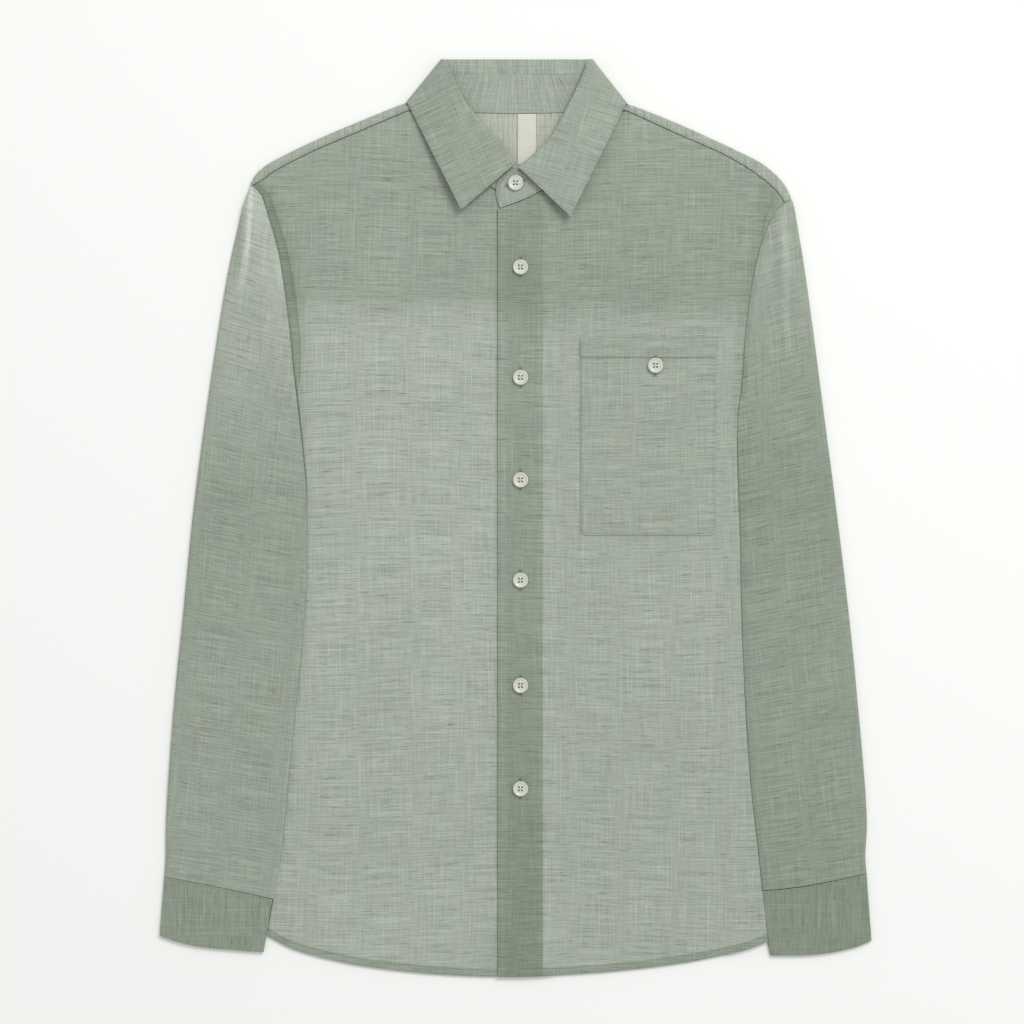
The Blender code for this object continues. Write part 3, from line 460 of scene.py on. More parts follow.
def fell_width(side, y):
    low, high = FELL[side][0], FELL[side][-1]
    width = np.interp(y, [row[0] for row in FELL[side]], [row[1] for row in FELL[side]])
    return np.where((y > low[0]) & (y < high[0] + 4), width, -1.0)


LAP_OVER = 1.4
TUCK_UNDER = 5.0
LAP_TOP, LAP_TOP_RUN = 105, 95
LAP_FOOT, LAP_FOOT_RUN = -345, 25


def lapping(side, y):
    """How far a sleeve lies over the body below the underarm, or under it where that is below nothing."""
    run = ease((LAP_TOP - y) / LAP_TOP_RUN) * ease((y - LAP_FOOT) / LAP_FOOT_RUN)
    return run * (LAP_OVER if side == "right" else -TUCK_UNDER)


def front_shade(side, x, y):
    """The tone down a front with painted shade beside the sleeve, how far it is inside its hem or armhole
    seam, and how near to seams, for painted shade along them.
    """
    step = YOKE_STEP[side] * ease((y - YOKE_SEAM + STEP_BELOW) / STEP_RUN)
    yoke_share = step + (1 - YOKE_STEP[side]) * ease((y - YOKE_SEAM + BLUR_BELOW) / BLUR_RUN)
    inward = np.abs(x - edge_x(side, y))
    strip = fell_width(side, y)
    # Painted shade on the body beside the felled strip and the sleeve's edge, stronger towards the armhole
    beside = SIDE_SHADE + (FELL_SHADE - SIDE_SHADE) * ease((y - 40) / 60)
    tone = level_at(FRONT_TONE[side], y) * (1 - (1 - YOKE_SHADE) * yoke_share) * (
        1 - beside * np.exp(-(((inward - np.maximum(strip, 0)) / SHADE_WIDTH) ** 2)))
    double = HEM_TURN - (y - hem_y(x))
    # near: how far from the shoulder seam, kept off under the collar, and from the sleeve's edge or armhole
    # seam, for painted shade along them
    shoulder = smooth_line(FRONT_SEAM[side])
    shoulder = shoulder[np.argsort(shoulder[:, 0])]
    near = (np.interp(x, shoulder[:, 0], shoulder[:, 1]) - y) * 0.85 + 0.9
    near += ease((COLLAR_HALF - np.abs(x)) / 3) * 9
    if side == "right":
        double = np.maximum(double, strip - inward * 0.97)
        near = np.minimum(near, inward - np.maximum(lapping(side, y), 0) + 0.6 + 3 * ease((40 - y) / 60))
    else:
        near = np.minimum(near, inward * 1.3 + 0.9 + 3 * ease((130 - y) / 60))
        near = np.minimum(near, np.abs(inward - strip) * 1.1 + 0.8 + 3 * ease((250 - y) / 20))
    return tone, double, near


def laid(name, plan, top, cloth, tone=1.0, double=-1.0, near=99.0, grain=None, sheet=SHEET):
    """A laid panel: its upper face follows top and rolls over at its edges, with its thickness below."""
    rolled = ROLL_DROP * (1 - ease(from_edges(plan) / ROLL_REACH))
    outer = np.dstack((plan, top - rolled))
    inner = np.dstack((plan, top - sheet))
    return shell(name, outer, inner, plan if grain is None else grain, cloth, tone, double, near)


def bowed(plan, bow=2.2):
    """The weave's own lines, a little bowed, as cloth that was never pulled quite straight."""
    x, y = plan[..., 0], plan[..., 1]
    return np.dstack((x + bow * np.sin(y / 95 + 1), y + bow * np.sin(x / 52 + y / 160)))


def cut_sheet(plan, layers=1):
    """Measures the flat spans of a cloth piece, doubled across where it is a tube, and keeps nothing."""
    spans = plan.reshape(-1, 2).max(axis=0) - plan.reshape(-1, 2).min(axis=0)
    spans[0] *= layers


right_plan = front_plan("right", STITCHED_EDGE - 1.6, neck_edge("right"))
rx, ry = right_plan[..., 0], right_plan[..., 1]
tone, double, near = front_shade("right", rx, ry)
right_front = laid("right_front_cloth", right_plan, right_front_top(rx, ry), sage_linen, tone, double, near,
                   bowed(right_plan))
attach(right_front, "root")
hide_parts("right_front")
cut_sheet(right_plan)


def front_seams(side, first, last, top):
    """A front's stitching: along the hem, and down the inner edge of the felled armhole seam."""
    hem_x = np.linspace(first, last, 60)
    seam_y = hem_y(hem_x) + HEM_TURN - 1.0
    low, high = FELL[side][1][0], FELL[side][-1][0]
    fell_y = np.linspace(low, high - 4, 50)
    fell_x = edge_x(side, fell_y) - SIGN[side] * (fell_width(side, fell_y) - 1.0)
    lines = [(hem_x, seam_y), (fell_x, fell_y)]
    if side == "right":
        lines.append((edge_x(side, fell_y) - SIGN[side] * 2.0, fell_y))
    return [np.stack((x, y, top(x, y)), axis=1) for x, y in lines]


stitches("right_front_stitching", front_seams("right", -209.0, FREE_EDGE - 1, right_front_top))

# Left front: the upper of the two, lapped over the right one and buttoned through its placket.
# The placket is the front's own edge turned in twice and stitched down, so it is stiffer and darker.

LAP_GAP = 0.5
PLACKET_EXTRA = 0.6
PLACKET_FALL = 14
SIDE_RISE = 1.8
PLACKET_TONE = (Tone(-394, 0.80), Tone(-300, 0.85), Tone(-100, 0.95), Tone(187, 1.07), Tone(350, 1.20))
# Both edges of the placket are paler, the free one more and over a wider strip
FREE_EDGE_PALE, STITCHED_EDGE_PALE = 0.12, 0.09
POCKET_RIGHT = 172.0


def left_front_top(x, y):
    """As the right front, and up over it at the placket and beside the sleeve that it laps."""
    lapped = 1 - ease((x - STITCHED_EDGE) / PLACKET_FALL)
    side_rise = SIDE_RISE * ease((x - POCKET_RIGHT) / 18) * ease((88 - y) / 40)
    turned = PLACKET_EXTRA * ease((STITCHED_EDGE + 0.2 - x) / 0.6)
    return right_front_top(x, y) + (CLOTH + LAP_GAP) * lapped + side_rise + turned


step_columns = STITCHED_EDGE + np.array((-0.6, 0.1, 0.5, 0.9))
left_plan = front_plan("left", FREE_EDGE, neck_edge("left"), step_columns)
lx, ly = left_plan[..., 0], left_plan[..., 1]
tone, double, near = front_shade("left", lx, ly)
placket = STITCHED_EDGE - lx
pale = 1 + FREE_EDGE_PALE * (1 - ease((lx - FREE_EDGE - 4) / 4))
pale += STITCHED_EDGE_PALE * (1 - ease((placket - 2.5) / 1.5))
tone = np.where(placket > 0, tone * level_at(PLACKET_TONE, ly) * pale, tone)
left_front = laid("left_front_cloth", left_plan, left_front_top(lx, ly), sage_linen, tone,
                  np.maximum(double, placket), near, bowed(left_plan))
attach(left_front, "root")
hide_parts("left_front")
cut_sheet(left_plan)
placket_y = np.linspace(hem_y(PLACKET_CENTRE) + 1.5, 266.0, 60)
placket_lines = [np.stack((np.full(60, x), placket_y, left_front_top(np.full(60, x), placket_y)), axis=1)
                 for x in (FREE_EDGE + 2.0, STITCHED_EDGE - 1.4)]
stitches("left_front_stitching", front_seams("left", STITCHED_EDGE, 212.0, left_front_top) + placket_lines)

# Back: one panel below the yoke, flat on the table, with the same curved hem as the fronts.
# Its sides are seen only from below and past the fronts' edges.

BACK_INSET = {"right": 1.0, "left": 8.0}
BACK_LOWER = 22
BACK_COLUMNS, BACK_ROWS = 60, 80
BACK_TONE = 0.95
back_x = np.linspace(0, 1, BACK_COLUMNS)
back_v = np.linspace(0, 1, BACK_ROWS)
back_y = hem_y(0.0) + (YOKE_SEAM - hem_y(0.0)) * back_v
ends = [edge_x(side, back_y + BACK_LOWER) - SIGN[side] * BACK_INSET[side] for side in SIDES]
back_plan = np.zeros((len(back_v), len(back_x), 2))
back_plan[..., 0] = ends[0][:, None] + (ends[1] - ends[0])[:, None] * back_x
low = hem_y(back_plan[..., 0])
back_plan[..., 1] = low + (YOKE_SEAM - low) * back_v[:, None]
hem = HEM_TURN - (back_plan[..., 1] - hem_y(back_plan[..., 0]))
back_panel = laid("back_cloth", back_plan, np.full(back_plan.shape[:2], SHEET), sage_linen, BACK_TONE, hem)
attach(back_panel, "root")
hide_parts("back_panel")
cut_sheet(back_plan)

# Yoke: one piece over both shoulders, turned over them on to the fronts and felled down there.
# Its threads run along the shoulders, so on the fronts they cross the seam.

SEAM_GAP = 0.3
SHOULDER_HEIGHT = 4.0
SHOULDER_FOLD = {
    "right": ((-87.5, 352.2), (-91.5, 354.3), (-95.8, 355.4), (-134.2, 340.1), (-170.3, 324.7),
              (-205.5, 307.5), (-219.3, 298.4), (-224.9, 291.4), (-227.2, 286.6)),
    "left": ((90, 351.2), (94.3, 353.4), (98.6, 354.6), (135.9, 340.1), (170.3, 324.7), (206.4, 307.5),
             (215.5, 301.6), (225.6, 293), (232.3, 284.8), (236.8, 275.8), (237.9, 271.8)),
}
NECK_CENTRE, NECK_BACK, NECK_BACK_RISE, NECK_HALF = 2.5, 347.0, 3.2, 80.0
NECK_STRIP = 8.0
FOLD_DEPTH = 2
SHOULDER_RUNS = 44
YOKE_ROWS = 30
FOLD_ROWS = 9
YOKE_TONE = 0.90
STRIP_STITCH = 2.2


def neck_back(x):
    return NECK_BACK + NECK_BACK_RISE * ((x - NECK_CENTRE) / NECK_HALF) ** 2


share = np.linspace(0, 1, SHOULDER_RUNS)
fold = {side: along(smooth_line(SHOULDER_FOLD[side]), share) for side in SIDES}
strip_end = {side: along(smooth_line(FRONT_SEAM[side]), share) for side in SIDES}
neck_x = np.linspace(fold["right"][0, 0], fold["left"][0, 0], 52)[1:-1]
neck_top = np.stack((neck_x, neck_back(neck_x)), axis=1)
blend = ease((np.abs(neck_x) - 80) / 16)[:, None]
neck_top = neck_top * (1 - blend) + np.stack((neck_x, np.full_like(neck_x, 355.0)), axis=1) * blend
tops = np.vstack((fold["right"][::-1], neck_top, fold["left"]))
inward = np.vstack((strip_end["right"][::-1], neck_top - (0, NECK_STRIP), strip_end["left"])) - tops
strip = lengths(inward)[..., None]
inward /= strip
reach = np.where(tops[:, 0] < 0, -tops[:, 0] / 226.5, tops[:, 0] / 237.4)
foot_x = np.where(tops[:, 0] < 0, edge_x("right", YOKE_SEAM) * reach, edge_x("left", YOKE_SEAM) * reach)
foots = np.stack((foot_x, np.full_like(foot_x, YOKE_SEAM + SEAM_GAP)), axis=1)
rows = []
for v in np.linspace(0, 1, YOKE_ROWS, endpoint=False):
    p = foots * (1 - v) + (tops + inward * FOLD_DEPTH) * v
    for k, side in ((0, "right"), (-1, "left")):
        p[k, 0] = edge_x(side, p[k, 1]) - SIGN[side]
    rows.append((p, np.zeros(len(tops)), np.full(len(tops), SHEET)))
for angle in np.radians(np.linspace(-90, 90, FOLD_ROWS)):
    half = SHOULDER_HEIGHT / 2
    p = tops + inward * FOLD_DEPTH * (1 - math.cos(angle))
    rows.append((p, np.full(len(tops), half * (1 + math.sin(angle))),
                 np.full(len(tops), half + (half - SHEET) * math.sin(angle))))
for v in np.linspace(0.12, 1, 6):
    p = tops + inward * (FOLD_DEPTH + np.maximum(strip - 2 * SEAM_GAP - FOLD_DEPTH, 0.3) * v)
    rows.append((p, np.full(len(tops), SHOULDER_HEIGHT), np.full(len(tops), SHOULDER_HEIGHT - SHEET)))
yoke_plan = np.array([p for p, _, _ in rows])
outer, inner = [np.dstack((yoke_plan, np.array([row[k] for row in rows]))) for k in (1, 2)]
inner[YOKE_ROWS:YOKE_ROWS + FOLD_ROWS, :, :2] += inward * SHEET * 0.9
# Painted shade along the edges of the yoke's turned-over strip on each shoulder, none on the rest of the yoke
strip_near = lengths(yoke_plan[-1:] - yoke_plan) + 1.2
ends = np.minimum(*[lengths(yoke_plan - yoke_plan[:, k:k + 1 or None]) for k in (0, -1)])
strip_near = np.minimum(strip_near, ends + 0.3)
strip_near[:YOKE_ROWS] = 99.0
keep = np.ones((len(rows) - 1, len(tops) - 1), dtype=bool)
keep[YOKE_ROWS:, SHOULDER_RUNS - 1:-SHOULDER_RUNS] = False
yoke = shell("yoke_cloth", outer, inner, yoke_plan[..., ::-1], sage_linen, YOKE_TONE, near=strip_near,
             keep=keep)
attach(yoke, "root")
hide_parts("yoke")
shoulder_lines = []
for side in SIDES:
    across = fold[side] - strip_end[side]
    across *= STRIP_STITCH / lengths(across)[..., None]
    place = strip_end[side] + across
    shoulder_lines.append(np.column_stack((place, np.full(len(place), SHOULDER_HEIGHT)))[3:-1])
stitches("shoulder_stitching", shoulder_lines)

# Yoke lining: the yoke's second layer, of the same linen left undyed, seen inside the neck.
# Cut as the yoke is and caught in the same seams.

lining_linen = linen("lining_linen", "#b4b8aa", "#b1b5a8", slub=0.9)
LINING_INSET = 3.2
LINING_LEVEL = 2.5
lining_tops = tops + inward * LINING_INSET * (np.abs(tops[:, :1]) > 90)
lining_plan = np.array([foots * (1 - v) + lining_tops * v for v in np.linspace(0, 1, 24)])
for k, side in ((0, "right"), (-1, "left")):
    lining_plan[:, k, 0] = edge_x(side, lining_plan[:, k, 1]) - SIGN[side] * LINING_INSET
yoke_lining = laid("lining_cloth", lining_plan, np.full(lining_plan.shape[:2], LINING_LEVEL), lining_linen,
                   grain=lining_plan[..., ::-1])
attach(yoke_lining, "root")
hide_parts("yoke_lining")
cut_sheet(lining_plan)

# Neck label: a bare cotton tape, closely woven and even, so it looks smooth and pale.
# Folded, and caught in the neck seam at its top end.

LABEL_LEFT, LABEL_RIGHT, LABEL_END, LABEL_TOP = 2.2, 18.0, 303.0, 346.5
LABEL_LEVEL, LABEL_SHEET = 3.8, 0.5
cotton_tape = linen("cotton_tape", "#cac9bd", "#c7c7bb", slub=0.2)
label_plan = np.dstack(np.meshgrid(np.linspace(LABEL_LEFT, LABEL_RIGHT, 12),
                                   np.linspace(LABEL_END, LABEL_TOP, 24)))
neck_label = laid("label_tape", label_plan, np.full((24, 12), LABEL_LEVEL), cotton_tape,
                  sheet=LABEL_SHEET)
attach(neck_label, "root")
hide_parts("neck_label")

# Chest pocket: a patch pocket on the left front, its top turned down into a wide hem.
# Pressed in round its edges, with two small round corners, and stitched down on three sides.

POCKET_LEFT = 55.9
POCKET_TOP, POCKET_BOTTOM = 153.9, -15.5
POCKET_HEM = 16.5
POCKET_CORNER = 6.0
POCKET_STITCH = 1.6
POCKET_TONE, POCKET_HEM_SHADE, POCKET_HEM_EDGE_SHADE = 0.84, 0.03, 0.22


def pocket_top(x, y):
    return left_front_top(x, y) + SEAM_GAP + SHEET + 0.7 * ease((y - POCKET_TOP + POCKET_HEM) / 0.8)


HEM_SEAM_ROWS = POCKET_TOP - POCKET_HEM - POCKET_BOTTOM + np.array((-1.8, -1.0, -0.4, 0.1, 0.8))
rise = stations(POCKET_TOP - POCKET_BOTTOM)
rise = np.sort(np.concatenate((rise, HEM_SEAM_ROWS / (POCKET_TOP - POCKET_BOTTOM))))
pocket_y = POCKET_BOTTOM + (POCKET_TOP - POCKET_BOTTOM) * rise
round_in = POCKET_CORNER - np.sqrt(np.maximum(
    POCKET_CORNER ** 2 - np.maximum(POCKET_CORNER - (pocket_y - POCKET_BOTTOM), 0) ** 2, 0))
pocket_x = (POCKET_LEFT + round_in)[:, None] + (
    POCKET_RIGHT - POCKET_LEFT - 2 * round_in)[:, None] * stations(POCKET_RIGHT - POCKET_LEFT)
pocket_plan = np.dstack((pocket_x, np.broadcast_to(pocket_y[:, None], pocket_x.shape)))
px, py = pocket_plan[..., 0], pocket_plan[..., 1]
turned_in = np.maximum(py - POCKET_TOP + POCKET_HEM, 2.0 - from_edges(pocket_plan))
# Painted shade in a thin line just under the lower edge of the pocket's hem
hem_edge_shade = POCKET_HEM_EDGE_SHADE * np.exp(-(((py - POCKET_TOP + POCKET_HEM + 0.5) / 0.6) ** 2))
chest_pocket = laid("pocket_cloth", pocket_plan, pocket_top(px, py), sage_linen,
                    POCKET_TONE - POCKET_HEM_SHADE * ease(turned_in) - hem_edge_shade,
                    grain=bowed(pocket_plan) + (31, 17))
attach(chest_pocket, "root")
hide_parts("chest_pocket")
cut_sheet(pocket_plan)
bend = np.radians(np.linspace(180, 270, 6))
low_left = np.stack((np.cos(bend), np.sin(bend)), axis=1) * (POCKET_CORNER - POCKET_STITCH) + (
    POCKET_LEFT + POCKET_CORNER, POCKET_BOTTOM + POCKET_CORNER)
low_right = (low_left * (-1, 1) + (POCKET_LEFT + POCKET_RIGHT, 0))[::-1]
edge_line = np.vstack(((POCKET_LEFT + POCKET_STITCH, POCKET_TOP - 1.5), low_left, low_right,
                       (POCKET_RIGHT - POCKET_STITCH, POCKET_TOP - 1.5)))
edge_line = along(edge_line, np.linspace(0, 1, 160))
hem_seam = POCKET_TOP - POCKET_HEM
top_line = np.linspace((POCKET_LEFT + 2, hem_seam), (POCKET_RIGHT - 2, hem_seam), 40)
stitches("pocket_stitching", [np.column_stack((p, pocket_top(*p.T))) for p in (edge_line, top_line)])

# Collar: a stand sewn round the neckline and a pointed leaf that rolls over it and falls outside.
# Both are two layers pressed firm. The stand's ends lap at the front, the wearer's left one on top.

ROLL_EDGE = {
    "right": ((0.3, 303), (-11.9, 319.4), (-27.6, 336.5), (-43.3, 356.5), (-52, 374), (-58.8, 388.6)),
    "left": ((3.1, 300.1), (13.8, 309.4), (23.7, 317.9), (33.7, 330.8), (43.7, 349.3), (54.1, 369.3),
             (61.7, 388.8)),
}
LEAF_TIP = {"right": (-46.1, 263.2), "left": (47.5, 257.4)}
LEAF_CORNER = {"right": (-91.3, 353.8), "left": (94.2, 353.0)}
STAND_CLOTH = 1.4
LEAF_CLOTH = 1.2
FRONT_RUNGS = 6
BACK_RUNGS = 8
STAND_BACK_NECK_Z = 2.2
STAND_BACK_TOP_Z = 3.6
LEAF_BACK_Z = 0.6
LEAF_FREE_Z = SHOULDER_HEIGHT + SEAM_GAP + LEAF_CLOTH / 2
LEAF_SIDE_RISE = 1.4
LEAF_TIP_LIFT = 8.0
ROLL_RADIUS = 1.5
STAND_WIDTH = 33.5
STAND_TONE = 0.86
COLLAR_STITCH = 1.6
BACK_ROLL_Y = 392.9
CollarRow = namedtuple("CollarRow", "roll_in neck_right neck_left top_right top_left seam")
COLLAR_ROWS = (
    CollarRow(4.0, 3.5, 5.2, 3.5, 5.2, 6.9),
    CollarRow(5.2, 3.5, 5.0, 4.5, 5.2, 6.6),
    CollarRow(6.4, 3.5, 3.8, 5.5, 5.8, 6.6),
    CollarRow(7.6, 3.6, 3.6, 6.3, 6.4, 6.9),
    CollarRow(8.8, 3.8, 3.8, 7.0, 7.0, 7.2),
    CollarRow(10.0, 4.2, 4.2, 7.4, 7.4, 7.4),
    CollarRow(11.0, 4.5, 4.5, 7.6, 7.6, 7.6),
)
Rung = namedtuple("Rung", "neck top free seam roll outward")


def flat(place, z):
    return Vector((place[0], place[1], z))


def front_rungs(side):
    """From the centre front to the side of the neck."""
    shares = np.linspace(0, 1, FRONT_RUNGS + 1)
    roll = [Vector(p) for p in along(smooth_line(ROLL_EDGE[side]), shares)]
    neck = along(smooth_line(NECKLINE[side]), shares)
    tip = Vector(LEAF_TIP[side])
    corner = Vector(LEAF_CORNER[side])
    rungs = []
    for k, row in enumerate(COLLAR_ROWS):
        way = roll[min(k + 1, FRONT_RUNGS)] - roll[max(k - 1, 0)]
        aside = Vector((way.y, -way.x)).normalized()
        if aside.y > 0:
            aside = -aside
        aside = aside.lerp((corner - roll[-1]).normalized(), float(ease((k - 2) / 4))).normalized()
        seam = roll[k] + aside * row.roll_in
        lift = LEAF_TIP_LIFT * (1 - float(ease(k / FRONT_RUNGS)) ** 1.5)
        rise = LEAF_SIDE_RISE * float(ease((k - 3) / 3)) + lift
        rungs.append(Rung(
            flat(neck[k], getattr(row, "neck_" + side)), flat(seam, getattr(row, "top_" + side)),
            flat(tip.lerp(corner, k / FRONT_RUNGS), LEAF_FREE_Z + rise), flat(seam, row.seam),
            flat(roll[k], row.seam), Vector((0.0, 0.0, 1.0))))
    return rungs


def side_rungs(front, side):
    """Round the side of the neck, where the collar folds from the front to the back."""
    outward = Vector((0.785 * SIGN[side], 0.62, 0.0))
    backs = (STAND_BACK_NECK_Z, STAND_BACK_TOP_Z, LEAF_BACK_Z, STAND_BACK_TOP_Z, STAND_BACK_TOP_Z)
    rungs = []
    for k in range(1, 5):
        turn = outward * math.sin(math.pi * k / 4) + Vector((0.0, 0.0, math.cos(math.pi * k / 4)))
        places = [Vector((p.x, p.y, (p.z + back) / 2)) + turn * (p.z - back) / 2
                  for p, back in zip(front, backs)]
        places[4].y += (BACK_ROLL_Y - places[4].y) * k / 4
        rungs.append(Rung(*places, turn))
    return rungs


def back_rungs(first, last):
    """Across the back of the neck, between the side folds."""
    rungs = []
    for k in range(1, BACK_RUNGS):
        share = k / BACK_RUNGS
        bow = float(ease(min(share, 1 - share) / 0.22))
        neck, top, free, seam, roll = [a.lerp(b, share) for a, b in zip(first[:5], last[:5])]
        neck.y += (neck_back(neck.x) + SEAM_GAP - neck.y) * bow
        free.y += (neck_back(free.x) + 4 * SEAM_GAP - free.y) * bow
        top.y += (NECK_BACK + STAND_WIDTH - top.y) * bow
        seam.y = top.y
        roll.y += (BACK_ROLL_Y - roll.y) * bow
        rungs.append(Rung(neck, top, free, seam, roll, Vector((0.0, 0.0, -1.0))))
    return rungs


def refined(grid, times):
    """A grid of points drawn finer both ways with smooth lines through them."""
    for k in times:
        flat_rows = grid.reshape(len(grid), -1)
        grid = smooth_line(flat_rows, k).reshape(-1, *grid.shape[1:]).swapaxes(0, 1)
    return grid


def faces_of(grid, thickness):
    """The two faces of a wall about a grid on its middle surface."""
    up = np.gradient(grid, axis=0)
    side = np.gradient(grid, axis=1)
    normal = np.cross(up, side)
    normal *= thickness / 2 / lengths(normal)[..., None]
    return grid - normal, grid + normal


def measured(grid):
    """A place on the cloth for each point of a grid: how far along it and how far across."""
    u = np.cumsum(lengths(np.diff(grid, axis=0, prepend=grid[:1])), axis=0)
    v = np.cumsum(lengths(np.diff(grid, axis=1, prepend=grid[:, :1])), axis=1)
    return np.dstack((u[:, grid.shape[1] // 2][:, None] * np.ones(grid.shape[1]), v))


half = {side: front_rungs(side) for side in SIDES}
turn = {side: side_rungs(half[side][-1], side) for side in SIDES}
ring = half["left"] + turn["left"] + back_rungs(turn["left"][-1], turn["right"][-1])
ring += turn["right"][::-1] + half["right"][::-1]
STAND_SHARES = (0.0, 0.25, 0.5, 0.75, 1.0)
LapEnd = namedtuple("LapEnd", "neck top bow level towards")
TAB = LapEnd((-12.9, 265.6), (1.8, 299.8), 10.5, 5.2, -1)
UNDER = LapEnd((20.5, 265.8), (7.6, 297.6), 8.0, 3.5, 1)


def lap_end(end):
    """The rounded end of the stand."""
    start = Vector(end.neck)
    run = Vector(end.top) - start
    aside = Vector((run.y, -run.x)).normalized() * end.towards * end.bow
    return [flat(start + run * s + aside * math.sin(math.pi * s), end.level) for s in STAND_SHARES]


stand_rows = [lap_end(TAB)] + [[r.neck.lerp(r.top, s) for s in STAND_SHARES] for r in ring] + [lap_end(UNDER)]
stand_grid = refined(np.array([[tuple(p) for p in row] for row in stand_rows]), (6, 5))
low_face, high_face = faces_of(stand_grid, STAND_CLOTH)
stand = shell("collar_stand_cloth", high_face, low_face, measured(stand_grid)[..., ::-1], sage_linen,
              STAND_TONE)
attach(stand, "root")
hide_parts("collar_stand")
cut_sheet(measured(stand_grid))


def inset(face, depth):
    """The line at a depth in from a face's first column."""
    far = measured(face)[..., 1]
    return np.array([[np.interp(depth, f, part) for part in row.T] for f, row in zip(far, face)])


TAB_ROWS = 11
stitches("tab_stitching", [inset(high_face.swapaxes(0, 1), COLLAR_STITCH)[2:],
                           inset(high_face[:TAB_ROWS], COLLAR_STITCH)[1:]])


def leaf_section(rung):
    """From the leaf's free edge up to the roll, round it and down to the top of the stand."""
    up = rung.roll - rung.seam
    height = up.length
    up.normalize()
    shoulder = rung.seam + up * (height - ROLL_RADIUS)
    fall = shoulder + rung.outward * 2 * ROLL_RADIUS
    points = [rung.free.lerp(fall, s) for s in (0.0, 0.22, 0.45, 0.7, 0.9)]
    for angle in (90, 45, 0, -45, -90):
        a = math.radians(angle)
        points.append(shoulder + (up * math.cos(a) + rung.outward * (1 + math.sin(a))) * ROLL_RADIUS)
    points.append(rung.seam + up * 0.05)
    return points


leaf_grid = refined(np.array([[tuple(p) for p in leaf_section(rung)] for rung in ring]), (6, 5))
low_face, high_face = faces_of(leaf_grid, LEAF_CLOTH)
# Each leaf's tone and the slant of its weft, from the wearer's left point round the neck to the right one
LeafRow = namedtuple("LeafRow", "y share slant")
LEAF_ROUND = (LeafRow(0.22, 0.82, -17), LeafRow(0.36, 0.85, 90), LeafRow(0.64, 0.85, 90),
              LeafRow(0.78, 0.75, 24))
LEAF_END_ROWS = 37
round_neck = np.linspace(0, 1, len(leaf_grid))[:, None]
slant = np.radians(np.interp(round_neck, [row.y for row in LEAF_ROUND], [row.slant for row in LEAF_ROUND]))
lean, rise = np.cos(slant), np.sin(slant)
leaf_grain = np.dstack((leaf_grid[..., 0] * lean + leaf_grid[..., 1] * rise,
                        leaf_grid[..., 1] * lean - leaf_grid[..., 0] * rise))
# Painted shade along the leaf's inner edge, where it meets the stand
inner_end = lengths(leaf_grid - leaf_grid[:, -1:]) + 1.3
leaf = shell("collar_leaf_cloth", high_face, low_face, leaf_grain, sage_linen,
             level_at(LEAF_ROUND, round_neck), near=inner_end)
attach(leaf, "root")
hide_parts("collar_leaf")
cut_sheet(measured(leaf_grid))
leaf_lines = [inset(end, COLLAR_STITCH) for end in (high_face[:LEAF_END_ROWS], high_face[-LEAF_END_ROWS:])]
leaf_lines += [inset(face.swapaxes(0, 1), COLLAR_STITCH)[2:25] for face in (high_face, high_face[::-1])]
stitches("leaf_stitching", leaf_lines)

# Sleeves: each one piece, sewn into a tube and set into its armhole, flattened as it lies.
# The wearer's right sleeve lies over the body's edge and the left one tucks under it.

SHOULDER_TIP = {"right": (-227.8, 283.4), "left": (238.4, 271.2)}
SLEEVE_OUTER = {
    "right": ((-230.8, 275.2), (-234.4, 265), (-237.2, 252.5), (-244.3, 221.5), (-252, 178.5),
              (-264.9, 92.5), (-276.1, 6.5), (-284.7, -79.6), (-293.3, -165.6), (-299.3, -251.6),
              (-300.2, -290)),
    "left": ((240.2, 264), (241.7, 255.9), (247.5, 221.5), (253.7, 178.5), (264.9, 92.5),
             (276.1, 6.5), (286.4, -79.6), (295.0, -165.6), (302.0, -251.6), (301.0, -290)),
}
CUFF_SEAM = {"right": ((-301.2, -308.2), (-254, -317.5), (-208.1, -327.5)),
             "left": ((302, -305.2), (284, -309.8), (258, -315), (232, -318.9), (208.5, -320.8))}
SLEEVE_FOLDS = {
    "right": (
        Fold(-227, 289, -236, 192, 3.8, 3.2),
        Fold(-236, 276, -243, 200, 4.5, -0.9),
        Fold(-220, 262, -226, 190, 10, 0.8),
        Fold(-209, 223, -198, 188, 3.0, 0.9),
        Fold(-203, 232, -196, 198, 2.6, 0.8),
        Fold(-209, 180, -216, 138, 4.5, 0.8),
        Fold(-240, 120, -230, -20, 20, 1.0),
        Fold(-215, -60, -250, -190, 22, 1.2),
        Fold(-270, -150, -262, -285, 16, 1.1),
        Fold(-196, 110, -240, 60, 12, -0.7),
        Fold(-262, 20, -215, -60, 13, -0.6),
        Fold(-225, -240, -245, -305, 8, 0.7),
        Fold(-282, -250, -275, -305, 7, 0.6),
    ),
    "left": (
        Fold(226, 266, 233, 176, 5.5, 1.6),
        Fold(236, 240, 248, 90, 13, 1.1),
        Fold(212, 240, 222, 190, 5, -0.7),
        Fold(222, 60, 240, -60, 20, 0.9),
        Fold(262, -40, 250, -180, 22, 1.2),
        Fold(262, -190, 270, -290, 16, 1.1),
        Fold(205, 180, 240, 130, 11, -0.7),
        Fold(205, -60, 262, -110, 13, -0.6),
        Fold(232, -240, 245, -302, 8, 0.7),
        Fold(286, -245, 280, -300, 7, 0.6),
    ),
}
# How dark each sleeve looks down its length, from its two layers and from painted shade
SLEEVE_TONE = {
    "right": (Tone(-330, 0.78), Tone(-230, 0.78), Tone(-60, 0.75), Tone(20, 0.73), Tone(144, 0.88),
              Tone(290, 1.08)),
    "left": (Tone(-330, 0.66), Tone(-230, 0.685), Tone(-60, 0.69), Tone(20, 0.65), Tone(144, 0.74),
             Tone(290, 0.90)),
}
